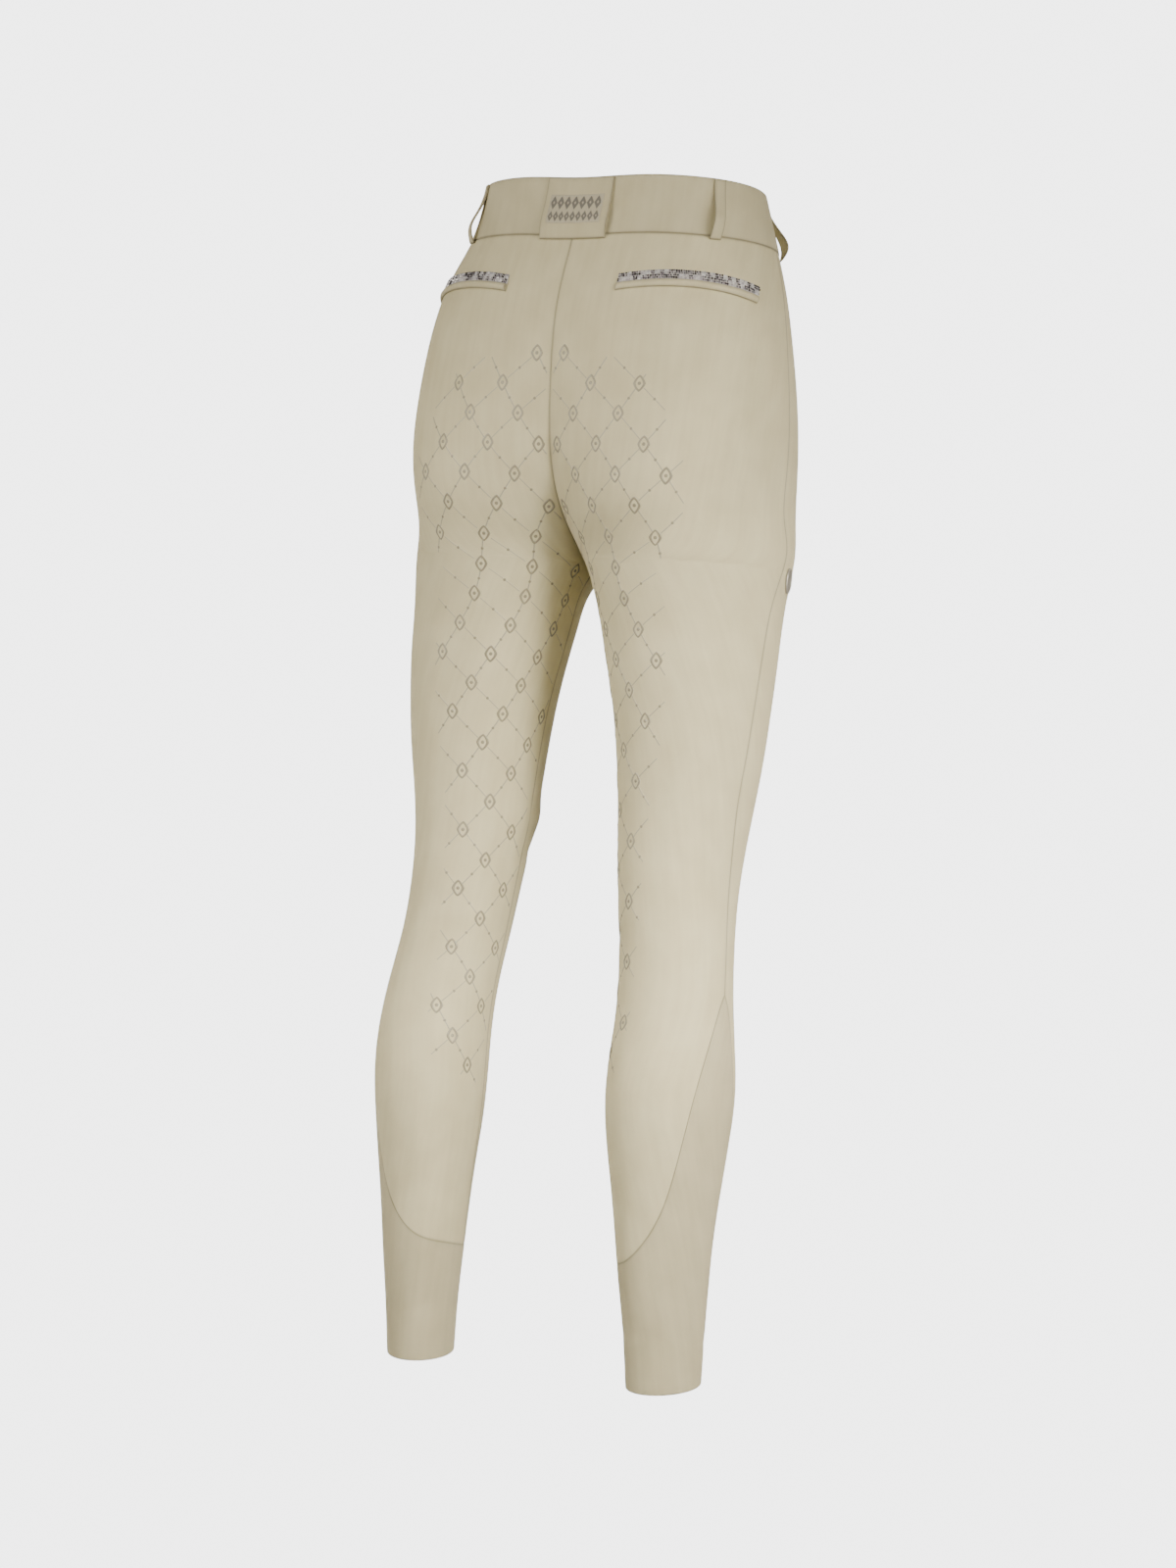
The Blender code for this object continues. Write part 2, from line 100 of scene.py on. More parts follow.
# Back pockets
POCKET_MIDDLE = 0.1145
POCKET_HALF = 0.0625
POCKET_TOP = -0.0838
POCKET_ARCH = 0.0055
POCKET_TILT = 0.0012
STONES_HEIGHT = 0.0066
STONES_CLOTH = 0.0012
STONES_OVER = 0.0016
WELT_HEIGHT = 0.0066
WELT_CLOTH = 0.0014
WELT_BULGE = 0.0016

# Thigh badge, on the right leg only
BADGE_HEIGHT = -0.3284
BADGE_ANGLE = 124.0
BADGE_HALVES = (0.0075, 0.0108)

# How finely the shells are read: steps down and round each piece, and how they close up
TRUNK_ROWS = 110
TRUNK_FIRST = (0.0012, 0.003, 0.0055)
TRUNK_CLOSING = 1.7
THIGH_ROWS = 95
THIGH_OPENING = 1.25
SHIN_ROWS = 85
SHIN_EASE = 0.8
SHIN_EASE_POWER = 6
BACK_COLUMNS = 104
FRONT_COLUMNS = 78
INSERT_ROWS = 120
INSERT_CROWDING = 0.8
INSERT_BACK_COLUMNS = 100
INSERT_FRONT_COLUMNS = 84
INSERT_CLOSING = 1.25
BAND_ROWS = 34
BAND_COLUMNS = 380
LAP_COLUMNS = 14
LOOP_STEPS = (44, 14)
TAB_STEPS = (56, 60)
LABEL_STEPS = (40, 60)
POCKET_STEPS = (16, 90)
EDGE_CROWDING = 0.86

# One section a row: see the skin
COLUMNS = "height lean across along outer inner back front turn side".split()
SECTIONS = [
    (0.000, 0.030, 0.0000, 0.0020, 0.1250, 0.1250, 0.0785, 0.1120, 0, 100),
    (-0.050, 0.022, 0.0000, 0.0000, 0.1392, 0.1392, 0.0900, 0.1175, 0, 100),
    (-0.080, 0.015, 0.0120, 0.0071, 0.1375, 0.1470, 0.0940, 0.1257, 0, 100),
    (-0.120, 0.008, 0.0280, 0.0125, 0.1300, 0.1560, 0.1010, 0.1303, 0, 100),
    (-0.160, 0.003, 0.0450, 0.0129, 0.1176, 0.1600, 0.1060, 0.1279, 0, 100),
    (-0.200, 0.000, 0.0610, 0.0113, 0.1032, 0.1600, 0.1110, 0.1218, 0, 101),
    (-0.240, 0.000, 0.0740, 0.0100, 0.0890, 0.1480, 0.1140, 0.1140, 2, 103),
    (-0.280, 0.000, 0.0840, 0.0088, 0.0776, 0.1210, 0.1100, 0.1043, 8, 108),
    (-0.305, 0.000, 0.0880, 0.0082, 0.0765, 0.1010, 0.1010, 0.0965, 14, 114),
    (-0.322, 0.000, 0.0900, 0.0102, 0.0760, 0.0900, 0.0940, 0.0920, 17, 113),
    (-0.345, 0.000, 0.0916, 0.0122, 0.0742, 0.0765, 0.0870, 0.0868, 20, 110),
    (-0.370, 0.000, 0.0940, 0.0132, 0.0714, 0.0714, 0.0810, 0.0816, 21, 107),
    (-0.400, 0.000, 0.0973, 0.0146, 0.0682, 0.0682, 0.0765, 0.0765, 20, 103),
    (-0.440, 0.000, 0.1006, 0.0152, 0.0636, 0.0636, 0.0705, 0.0705, 17, 97),
    (-0.480, 0.000, 0.1018, 0.0154, 0.0593, 0.0593, 0.0658, 0.0658, 15, 93),
    (-0.520, 0.000, 0.1012, 0.0158, 0.0544, 0.0544, 0.0620, 0.0620, 14, 92),
    (-0.560, 0.000, 0.1008, 0.0185, 0.0500, 0.0500, 0.0586, 0.0586, 14, 97),
    (-0.600, 0.000, 0.1025, 0.0230, 0.0471, 0.0471, 0.0550, 0.0550, 14, 101),
    (-0.640, 0.000, 0.1063, 0.0275, 0.0462, 0.0462, 0.0515, 0.0515, 15, 103),
    (-0.680, 0.000, 0.1112, 0.0340, 0.0468, 0.0468, 0.0505, 0.0505, 16, 102),
    (-0.720, 0.000, 0.1145, 0.0392, 0.0480, 0.0480, 0.0550, 0.0550, 17, 101),
    (-0.760, 0.000, 0.1155, 0.0410, 0.0484, 0.0484, 0.0594, 0.0594, 18, 101),
    (-0.800, 0.000, 0.1153, 0.0403, 0.0460, 0.0460, 0.0565, 0.0565, 18, 101),
    (-0.840, 0.000, 0.1157, 0.0390, 0.0418, 0.0418, 0.0502, 0.0502, 19, 101),
    (-0.880, 0.000, 0.1159, 0.0372, 0.0378, 0.0378, 0.0448, 0.0448, 19, 101),
    (-0.920, 0.000, 0.1166, 0.0345, 0.0345, 0.0345, 0.0410, 0.0410, 19, 101),
    (-0.960, -0.050, 0.1175, 0.0305, 0.0313, 0.0313, 0.0370, 0.0370, 20, 101),
    (-1.007, -0.150, 0.1180, 0.0260, 0.0288, 0.0288, 0.0340, 0.0340, 20, 101),
]
INSEAM_LOW = -88.0

# The top edge of the elastic insert: share of the way from the inseam round the back to the
# side seam, or on from there round the front, and height
INSERT_COLUMNS = "share height".split()
INSERT_BACK = [
    (0.00, -0.912),
    (0.30, -0.906),
    (0.50, -0.897),
    (0.62, -0.880),
    (0.70, -0.860),
    (0.76, -0.832),
    (0.81, -0.790),
    (0.86, -0.745),
    (0.91, -0.712),
    (0.96, -0.688),
    (1.00, -0.677),
]
INSERT_FRONT = [
    (0.00, -0.677),
    (0.04, -0.688),
    (0.08, -0.708),
    (0.115, -0.738),
    (0.15, -0.778),
    (0.19, -0.822),
    (0.25, -0.856),
    (0.36, -0.882),
    (0.52, -0.900),
    (0.75, -0.909),
    (1.00, -0.912),
]

# Soft creases: the leg; both ends as height and angle; half width; how far out, or in if
# negative. They lie behind the knee and round its inside, at the crotch, over the shin and
# above the cuff.
CREASE_COLUMNS = "leg height angle to_height to_angle width out".split()
CREASES = [
    ("left", -0.537, 272, -0.545, 204, 0.0150, 0.0028),
    ("left", -0.537, -79, -0.553, -36, 0.0150, 0.0021),
    ("left", -0.572, 272, -0.566, 210, 0.0080, -0.0011),
    ("left", -0.572, -79, -0.586, -20, 0.0080, -0.0011),
    ("left", -0.606, -58, -0.618, 26, 0.0085, -0.0010),
    ("left", -0.641, -40, -0.632, 40, 0.0070, -0.0007),
    ("left", -0.668, -66, -0.690, -8, 0.0090, -0.0006),
    ("left", -0.300, -28, -0.352, 18, 0.0100, -0.0007),
    ("left", -0.318, 236, -0.286, 196, 0.0085, -0.0010),
    ("left", -0.342, 244, -0.330, 188, 0.0090, -0.0008),
    ("left", -0.628, 150, -0.640, 214, 0.0090, -0.0008),
    ("left", -0.880, 196, -0.893, 252, 0.0060, -0.0005),
    ("left", -0.958, -46, -0.966, 34, 0.0055, -0.0006),
    ("left", -0.975, 120, -0.968, 214, 0.0055, -0.0006),
    ("right", -0.598, -46, -0.604, 34, 0.0080, -0.0007),
    ("right", -0.636, -64, -0.627, 8, 0.0085, -0.0009),
    ("right", -0.672, -30, -0.684, 36, 0.0080, -0.0005),
    ("right", -0.306, -32, -0.366, 12, 0.0105, -0.0008),
    ("right", -0.312, 238, -0.290, 204, 0.0080, -0.0009),
    ("right", -0.350, 246, -0.334, 192, 0.0095, -0.0009),
    ("right", -0.622, 158, -0.630, 222, 0.0085, -0.0007),
    ("right", -0.885, 188, -0.890, 240, 0.0065, -0.0005),
    ("right", -0.964, -40, -0.957, 48, 0.0050, -0.0006),
    ("right", -0.969, 132, -0.977, 206, 0.0060, -0.0005),
]


# Tables and vectors


def named(columns, rows):
    """A table's rows as dictionaries, by the names of its columns."""
    return [dict(zip(columns, row)) for row in rows]


def unit_length(vectors):
    """Vectors brought to length 1."""
    return vectors / np.linalg.norm(vectors, axis=-1, keepdims=True)


def full_turn(steps):
    """Even angles round a circle."""
    return np.linspace(0, 2 * math.pi, steps, endpoint=False)


# The skin


def splines(table):
    """Natural cubic splines through a table's rows: places, values and bends, by column."""
    rows = np.array(sorted(table), float)
    place, values = rows[:, 0], rows[:, 1:]
    step = np.diff(place)[:, None]
    slope = np.diff(values, axis=0) / step
    matrix = np.eye(len(place))
    inner = np.arange(1, len(place) - 1)
    matrix[inner, inner - 1] = step[:-1, 0]
    matrix[inner, inner] = 2 * (step[:-1] + step[1:])[:, 0]
    matrix[inner, inner + 1] = step[1:, 0]
    right = np.zeros_like(values)
    right[1:-1] = 3 * (slope[1:] - slope[:-1])
    return place, values, np.linalg.solve(matrix, right)


def read(curves, columns, name, at):
    """A column of a splined table at any place."""
    place, values, bends = curves
    at = np.asarray(at, float)
    column = columns.index(name) - 1
    span = np.clip(np.searchsorted(place, at) - 1, 0, len(place) - 2)
    step = place[span + 1] - place[span]
    low, high = values[span, column], values[span + 1, column]
    bend, next_bend = bends[span, column], bends[span + 1, column]
    t = at - place[span]
    slope = (high - low) / step - step * (2 * bend + next_bend) / 3
    return low + t * (slope + t * (bend + t * (next_bend - bend) / (3 * step)))


RINGS = splines(SECTIONS)
INSERT_EDGES = {"back": splines(INSERT_BACK), "front": splines(INSERT_FRONT)}


def section(name, height):
    """A column of SECTIONS at a height."""
    return read(RINGS, COLUMNS, name, height)


def insert_top(part, share):
    """The height of the insert's top edge at shares of the back's or front's width."""
    return read(INSERT_EDGES[part], INSERT_COLUMNS, "height", share)


def skin(height, angle):
    """Points of the left side's outer skin, at heights and angles in degrees from the back.

    A section is an egg: across it sin(angle) times the outer or inner half size, along it
    cos(angle) times the back or front one, each size easing into the other; then it is
    turned about its centre, and leans. Round the waistband it dips at the back's middle.
    """
    height, angle = np.broadcast_arrays(height, np.radians(angle))
    outer, inner = section("outer", height), section("inner", height)
    back, front = section("back", height), section("front", height)
    sine, cosine = np.sin(angle), np.cos(angle)
    across = sine * ((outer + inner) + (outer - inner) * sine) / 2
    along = cosine * ((back + front) + (back - front) * cosine) / 2
    turn = np.radians(section("turn", height))
    x = across * np.cos(turn) - along * np.sin(turn)
    y = across * np.sin(turn) + along * np.cos(turn)
    fading = np.clip((height - DIP_END) / (BAND_SEAM - DIP_END), 0.0, 1.0)
    dip = DIP * fading * np.exp(-((angle / np.radians(DIP_WIDTH)) ** 2))
    return np.stack(
        [
            section("across", height) + x,
            section("along", height) + y,
            height + section("lean", height) * y - dip,
        ],
        axis=-1,
    )


def outward(height, angle):
    """The skin's unit normals, from the slopes along its angle and its height."""
    turn_step, height_step = 0.05, 0.0002
    around_way = skin(height, angle + turn_step) - skin(height, angle - turn_step)
    upward = skin(height + height_step, angle) - skin(height - height_step, angle)
    return unit_length(np.cross(upward, around_way))


def raised(height, angle, out):
    """Points that stand off the skin by a distance, and its normals there."""
    normals = outward(height, angle)
    return skin(height, angle) + normals * np.asarray(out)[..., None], normals


# Seam lines and distances round the rings, read once into even tables


RING_STEPS = 720
INNER_ANGLES = np.linspace(-200.0, 20.0, 1761)
CROTCH_RANGE = np.linspace(-0.345, -0.300, 451)


def innermost(height):
    """The angle of each ring's innermost point and its place across."""
    across = skin(np.asarray(height, float)[:, None], INNER_ANGLES)[..., 0]
    least = across.argmin(axis=1)
    return INNER_ANGLES[least], across[np.arange(len(least)), least]


# The height where the rings, going down, first leave the middle plane
CROTCH = float(np.interp(0.0, -innermost(CROTCH_RANGE)[1], CROTCH_RANGE))
CROTCH_ANGLE = float(innermost([CROTCH])[0][0])
LEVELS = np.concatenate(
    [np.linspace(0.0, CROTCH, 241), np.linspace(CROTCH, HEM, 121)[1:]]
)


def seam_angles():
    """At each level the angles of the middle seams, or of the inseam from both sides.

    Above the crotch they are where the ring crosses the middle plane.
    """
    back, front = [], []
    for level in LEVELS:
        if level > CROTCH:
            across = skin(level, INNER_ANGLES)[..., 0]
            least = across.argmin()
            back.append(np.interp(0.0, across[least:], INNER_ANGLES[least:]))
            crossing = np.interp(0.0, across[least::-1], INNER_ANGLES[least::-1])
            front.append(crossing + 360.0)
        else:
            share = (CROTCH - level) / (CROTCH - INSERT_BACK[0][1])
            inseam = CROTCH_ANGLE + (INSEAM_LOW - CROTCH_ANGLE) * min(share, 1.0)
            back.append(inseam)
            front.append(inseam + 360.0)
    return np.array(back), np.array(front)


BACK_ANGLES, FRONT_ANGLES = seam_angles()


def ring_tables():
    """For each level, the way round at even shares of the angle, and the angle at even
    shares of the way round; both run from the back's seam to the front's."""
    share = np.linspace(0.0, 1.0, RING_STEPS + 1)
    spans = FRONT_ANGLES - BACK_ANGLES
    angles = BACK_ANGLES[:, None] + share * spans[:, None]
    runs = np.linalg.norm(np.diff(skin(LEVELS[:, None], angles), axis=1), axis=2)
    ways = np.concatenate([np.zeros((len(LEVELS), 1)), np.cumsum(runs, axis=1)], axis=1)
    evens = [np.interp(share * way[-1], way, line) for way, line in zip(ways, angles)]
    return ways, np.array(evens), ways[:, -1]


WAYS, EVEN_ANGLES, GIRTHS = ring_tables()


def between(table, row, column):
    """A table's values between its rows and columns, straight from one to the next."""
    top = np.clip(row.astype(int), 0, table.shape[0] - 2)
    left = np.clip(column.astype(int), 0, table.shape[1] - 2)
    down, right = row - top, column - left
    upper = table[top, left] * (1 - right) + table[top, left + 1] * right
    lower = table[top + 1, left] * (1 - right) + table[top + 1, left + 1] * right
    return upper * (1 - down) + lower * down


def level_row(height):
    """The place of heights among LEVELS."""
    return np.interp(-np.asarray(height, float), -LEVELS, np.arange(len(LEVELS)))


def girth(height):
    """The length of the left ring from the back's seam to the front's."""
    return np.interp(-np.asarray(height, float), -LEVELS, GIRTHS)


def around(height, distance):
    """Angles at distances round the left ring."""
    height, distance = np.broadcast_arrays(np.asarray(height, float), distance)
    share = np.clip(distance / girth(height), 0.0, 1.0)
    return between(EVEN_ANGLES, level_row(height), share * RING_STEPS)


def distance_round(height, angle):
    """Distances round the left ring at angles."""
    height, angle = np.broadcast_arrays(np.asarray(height, float), angle)
    start = np.interp(-height, -LEVELS, BACK_ANGLES)
    end = np.interp(-height, -LEVELS, FRONT_ANGLES)
    share = np.clip((angle - start) / (end - start), 0.0, 1.0)
    return between(WAYS, level_row(height), share * RING_STEPS)


def back_angle(height, share):
    """The angle at a share of the way from the centre back or inseam to the side seam."""
    start = np.interp(-height, -LEVELS, BACK_ANGLES)
    return start + share * (section("side", height) - start)


def front_angle(height, share):
    """The angle at a share of the way from the side seam to the centre front or inseam."""
    side = section("side", height)
    return side + share * (np.interp(-height, -LEVELS, FRONT_ANGLES) - side)


def creased(leg, height, angle):
    """How far the skin stands out for its creases.

    Each crease is a soft trough or ridge between two places: it falls off as exp(-a^2 - b^4),
    where a is the distance from its line over its half width and b runs from -1 to 1 along it.
    """
    across = distance_round(height, angle)
    out = np.zeros(np.shape(across))
    for row in named(CREASE_COLUMNS, CREASES):
        if row["leg"] != leg:
            continue
        ends = [(row["height"], row["angle"]), (row["to_height"], row["to_angle"])]
        start, end = (
            np.array([float(distance_round(level, turn)), level]) for level, turn in ends
        )
        length = np.linalg.norm(end - start)
        way = (end - start) / length
        along = (across - start[0]) * way[0] + (height - start[1]) * way[1]
        aside = (across - start[0]) * way[1] - (height - start[1]) * way[0]
        ends_off = (2 * along / length - 1) ** 4
        out = out + row["out"] * np.exp(-((aside / row["width"]) ** 2) - ends_off)
    return out


# Meshes


MIRROR = np.array([-1.0, 1.0, 1.0])


def crowded(count, crowding=EDGE_CROWDING):
    """Even steps from 0 to 1 with a sine taken off, so that they close up at both ends."""
    even = np.linspace(0.0, 1.0, count + 1)
    return even - crowding * np.sin(2 * np.pi * even) / (2 * np.pi)


def index_grid(rows, columns, start=0):
    """Point indices row by row."""
    return start + np.arange(rows * columns).reshape(rows, columns)


def border_lines(shape, ring):
    """The grid's border as closed lines of point indices, each with the cloth on its left."""
    index = index_grid(*shape[:2])
    if ring:
        return [index[-1], index[0, ::-1]]
    sides = [index[:, 0], index[-1, 1:], index[-2::-1, -1], index[0, -2:0:-1]]
    return [np.concatenate(sides)]


def inward_ways(points, normals):
    """The mitred ways into the cloth along a closed border: the edge's way crossed with the
    normal, averaged over the edges before and after each point."""
    ways = (points - np.roll(points, 1, axis=0), np.roll(points, -1, axis=0) - points)
    sides = []
    for way in ways:
        sideways = np.cross(way, normals)
        length = np.linalg.norm(sideways, axis=-1, keepdims=True)
        sides.append(sideways / np.maximum(length, 1e-12))
    spread = 1 + (sides[0] * sides[1]).sum(axis=-1, keepdims=True)
    return (sides[0] + sides[1]) / np.maximum(spread, MITRE_LIMIT)


def nearest_border(points, line):
    """Each point's nearest point of a border line, and its distance from it."""
    nearest, batch = np.empty(len(points), int), 4000
    for start in range(0, len(points), batch):
        some = points[start : start + batch]
        squares = (some**2).sum(axis=1)[:, None] + (line**2).sum(axis=1) - 2 * some @ line.T
        nearest[start : start + batch] = squares.argmin(axis=1)
    return nearest, np.linalg.norm(points - line[nearest], axis=1)


def eased(grid, normals, margins, ring=False):
    """A grid with its border moved into the cloth, and its points near it with it.

    A point moves by the border's margin times exp(-distance / EDGE_EASE). Also given: each
    point's distance from the border.
    """
    flat, facing = grid.reshape(-1, 3).copy(), normals.reshape(-1, 3)
    room = np.full(len(flat), 1.0)
    lines = border_lines(grid.shape, ring)
    moved = np.zeros_like(flat)
    for line, margin in zip(lines, margins):
        inward = inward_ways(flat[line], facing[line])
        nearest, distance = nearest_border(flat, flat[line])
        amount = margin * np.exp(-distance / EDGE_EASE)
        moved += inward[nearest] * amount[:, None]
        room = np.minimum(room, distance)
    return (flat + moved).reshape(grid.shape), room.reshape(grid.shape[:2])


def wrapped(index):
    """A grid of point indices with its first column once more at its end."""
    return np.concatenate([index, index[:, :1]], axis=1)


def quads_of(index):
    """The quads of a grid of point indices: down one side, across and up the other."""
    corners = [index[:-1, :-1], index[1:, :-1], index[1:, 1:], index[:-1, 1:]]
    return np.stack(corners, axis=-1).reshape(-1, 4)


def triangles_of(quads):
    """Each quad as two triangles."""
    return np.concatenate([quads[:, [0, 1, 2]], quads[:, [0, 2, 3]]])


def fan(line):
    """Triangles from a line's first point to its other edges."""
    return np.stack([np.full(len(line) - 2, line[0]), line[1:-1], line[2:]], axis=-1)


def cone(tip, ring):
    """Triangles from a tip to each edge of a closed ring."""
    return np.stack([np.full(len(ring), tip), ring, np.roll(ring, -1)], axis=-1)


def closed_faces(rings, steps):
    """Triangles between closed rings, and to two tips that follow the rings' points."""
    index = index_grid(rings, steps)
    ends = cone(index.size, index[0]), cone(index.size + 1, index[-1, ::-1])
    return np.concatenate([triangles_of(quads_of(wrapped(index))), *ends])


def put_mesh(name, points, faces, uv=None, fields=None):
    """A smooth mesh object from points, quads or triangles and, for each corner, a map."""
    mesh = bpy.data.meshes.new(name)
    mesh.from_pydata(points.tolist(), [], faces.tolist())
    if uv is not None:
        layer = mesh.uv_layers.new(name="cloth_map")
        layer.data.foreach_set("uv", np.asarray(uv, np.float32).ravel())
    for field, values in (fields or {}).items():
        attribute = mesh.attributes.new(field, "FLOAT", "POINT")
        attribute.data.foreach_set("value", np.asarray(values, np.float32).ravel())
    mesh.shade_smooth()
    made = bpy.data.objects.new(name, mesh)
    bpy.context.scene.collection.objects.link(made)
    return made


def shell(name, outer, inner, cloth_map, room, mirrored=False, ring=False):
    """A closed wall of cloth with round rims.

    The outer and the inner grid are joined along their borders by RIM_STEPS strips: points
    at the wall's middle plus cos(t) times half the wall, plus RIM_ROUND sin(t) times half
    its thickness away from the cloth. The map is in metres, round and up; the room is the
    distance from the border.
    """
    rows, columns = outer.shape[:2]
    count = rows * columns
    index = index_grid(rows, columns)
    quads = quads_of(wrapped(index) if ring else index)[:, ::-1]
    spots = quads_of(index_grid(*cloth_map.shape[:2]))[:, ::-1]
    outside, inside = outer.reshape(-1, 3), inner.reshape(-1, 3)
    points = [outside, inside]
    faces = [quads, quads[:, ::-1] + count]
    maps = [spots, spots[:, ::-1]]
    rooms = [room.ravel(), room.ravel()]
    total = 2 * count
    for line in border_lines(outer.shape, ring):
        wall = outside[line] - inside[line]
        away = unit_length(-inward_ways(outside[line], wall))
        half = RIM_ROUND * np.linalg.norm(wall, axis=1, keepdims=True) / 2
        middle = (outside[line] + inside[line]) / 2
        strips = [line]
        for step in range(1, RIM_STEPS + 1):
            turn = math.pi * step / (RIM_STEPS + 1)
            points.append(middle + wall / 2 * math.cos(turn) + away * half * math.sin(turn))
            strips.append(total + np.arange(len(line)))
            rooms.append(np.zeros(len(line)))
            total += len(line)
        strips.append(line + count)
        spot = line // columns * cloth_map.shape[1] + line % columns
        for upper, lower in zip(strips[:-1], strips[1:]):
            around_upper, around_lower = np.roll(upper, -1), np.roll(lower, -1)
            faces.append(np.stack([upper, around_upper, around_lower, lower], axis=-1))
            next_spot = np.roll(spot, -1)
            maps.append(np.stack([spot, next_spot, next_spot, spot], axis=-1))
    points, faces, maps = np.concatenate(points), np.concatenate(faces), np.concatenate(maps)
    if mirrored:
        points = points * MIRROR
        faces, maps = faces[:, ::-1], maps[:, ::-1]
    uv = cloth_map.reshape(-1, 2)[maps.ravel()]
    return put_mesh(name, points, faces, uv, {"room": np.concatenate(rooms)})


def mitred(normals, grid, height):
    """The normals, turned into the middle plane next to it above the crotch, so that the rims
    of the two sides meet there all through the cloth."""
    near = np.exp(-((grid[..., 0] / MITRE_REACH) ** 2))
    near = near * np.clip((height - CROTCH) / MITRE_REACH, 0.0, 1.0)
    return unit_length(normals * (1 - near[..., None] * np.array([1.0, 0.0, 0.0])))


def rim(thickness, gap=0.0):
    """How far a grid's border lies inside a piece's edge, to leave room for its round rim."""
    return (gap + RIM_ROUND * thickness) / 2


def wall(name, grid, normals, margins, thickness, cloth_map, mirrored=False, ring=False):
    """A shell from a grid of outer points: eased in at its border, sunk a little along it,
    and as thick as the cloth."""
    outer, room = eased(grid, normals, margins, ring)
    sink = SEAM_SINK * np.exp(-room / SEAM_SINK_REACH)
    outer = outer - normals * sink[..., None]
    inner = outer - normals * thickness
    return shell(name, outer, inner, cloth_map, room, mirrored, ring)


# Legs


def panel_heights(part, share):
    """Heights of a panel's points: level rows to the knee, then fanned to the insert's edge.

    Down the trunk the rows close up towards the crotch, where the seam runs level, and they
    open out again down the thigh.
    """
    closing = np.linspace(0.0, 1.0, TRUNK_ROWS + 1)
    closing = np.concatenate([closing[:1], TRUNK_FIRST, closing[1:]])
    trunk = BAND_SEAM + (CROTCH - BAND_SEAM) * (1 - (1 - closing) ** TRUNK_CLOSING)
    opening = np.linspace(0.0, 1.0, THIGH_ROWS + 1)[1:]
    thigh = CROTCH + (KNEE - CROTCH) * opening**THIGH_OPENING
    level = np.concatenate([trunk, thigh])
    down = np.linspace(0.0, 1.0, SHIN_ROWS + 1)[1:]
    down = 1 - (1 - down) * (1 - SHIN_EASE * down**SHIN_EASE_POWER)
    shin = KNEE + down[:, None] * (insert_top(part, share) - KNEE)
    return np.concatenate([np.repeat(level[:, None], len(share), axis=1), shin])


def creased_skin(side, height, angle):
    """The skin's points with its creases, its normals, and its map in metres."""
    grid, normals = raised(height, angle, creased(side, height, angle))
    return grid, normals, np.stack([distance_round(height, angle), height], axis=-1)


def leg_panel(part, side, share, angle_at):
    """A back or front panel, from the waistband's seam to the insert."""
    height = panel_heights(part, share)
    grid, normals, cloth_map = creased_skin(side, height, angle_at(height, share))
    normals = mitred(normals, grid, height)
    margins = [rim(CLOTH, SEAM_GAP)]
    name = f"{part}_{side}_cloth"
    piece = wall(name, grid, normals, margins, CLOTH, cloth_map, side == "right")
    dress(piece, "stretch_cloth", f"{part}_{side}")
    return piece


def leg_insert(side):
    """The elastic insert with its cuff: a V up the side, and a whole ring at the ankle."""
    back = 1 - (1 - np.linspace(0.0, 1.0, INSERT_BACK_COLUMNS + 1)) ** INSERT_CLOSING
    front = np.linspace(0.0, 1.0, INSERT_FRONT_COLUMNS + 1) ** INSERT_CLOSING
    top = np.concatenate([insert_top("back", back), insert_top("front", front[1:])])
    height = top + crowded(INSERT_ROWS, INSERT_CROWDING)[:, None] * (HEM - top)
    split = len(back)
    angle = np.concatenate(
        [back_angle(height[:, :split], back), front_angle(height[:, split:], front[1:])],
        axis=1,
    )
    grid, normals, cloth_map = creased_skin(side, height, angle)
    margins = [rim(CLOTH), rim(CLOTH, SEAM_GAP)]
    piece = wall(
        f"insert_{side}_cloth",
        grid[:, :-1],
        normals[:, :-1],
        margins,
        CLOTH,
        cloth_map,
        side == "right",
        ring=True,
    )
    dress(piece, "elastic_cloth", f"insert_{side}")
    return piece


# What lies on the skin


def both_sides(height, distance, out):
    """Points and normals at signed distances round the back: the wearer's left is positive."""
    height, distance, out = np.broadcast_arrays(height, distance, out)
    points, normals = raised(height, around(height, np.abs(distance)), out)
    flip = np.ones(points.shape)
    flip[..., 0] = np.where(distance < 0, -1.0, 1.0)
    return points * flip, normals * flip


def waistband():
    """The band, all round from its right end, which lies over the left one, to that end."""
    rows, facing, maps = [], [], []
    for height in crowded(BAND_ROWS) * (BAND_SEAM + SEAM_GAP / 2):
        half = float(girth(height))
        over = -half - LAP + LAP * crowded(LAP_COLUMNS)[:-1]
        distance = np.concatenate([over, np.linspace(-half, half, BAND_COLUMNS + 1)])
        rise = np.clip((LAP_RISE - half - distance) / LAP_RISE, 0.0, 1.0)
        out = BAND_PROUD + (BAND_CLOTH + SEAT) * rise * rise * (3 - 2 * rise)
        folded = np.where(distance < -half, 2 * half + distance, distance)
        points, normals = both_sides(height, folded, out)
        rows.append(points)
        facing.append(normals)
        maps.append(np.stack([distance, np.full(len(distance), height)], axis=-1))
    grid, normals = np.array(rows), np.array(facing)
    margins = [rim(BAND_CLOTH)]
    piece = wall("waistband_cloth", grid, normals, margins, BAND_CLOTH, np.array(maps))
    dress(piece, "band_cloth", "waistband")
    return piece


def bow(height, ends, stand):
    """How far a strap stands off between its ends: stand times sin(pi s^peak), s down it."""
    down = (height - ends[0]) / (ends[1] - ends[0])
    return stand * np.sin(math.pi * np.clip(down, 0.0, 1.0) ** BOW_PEAK)


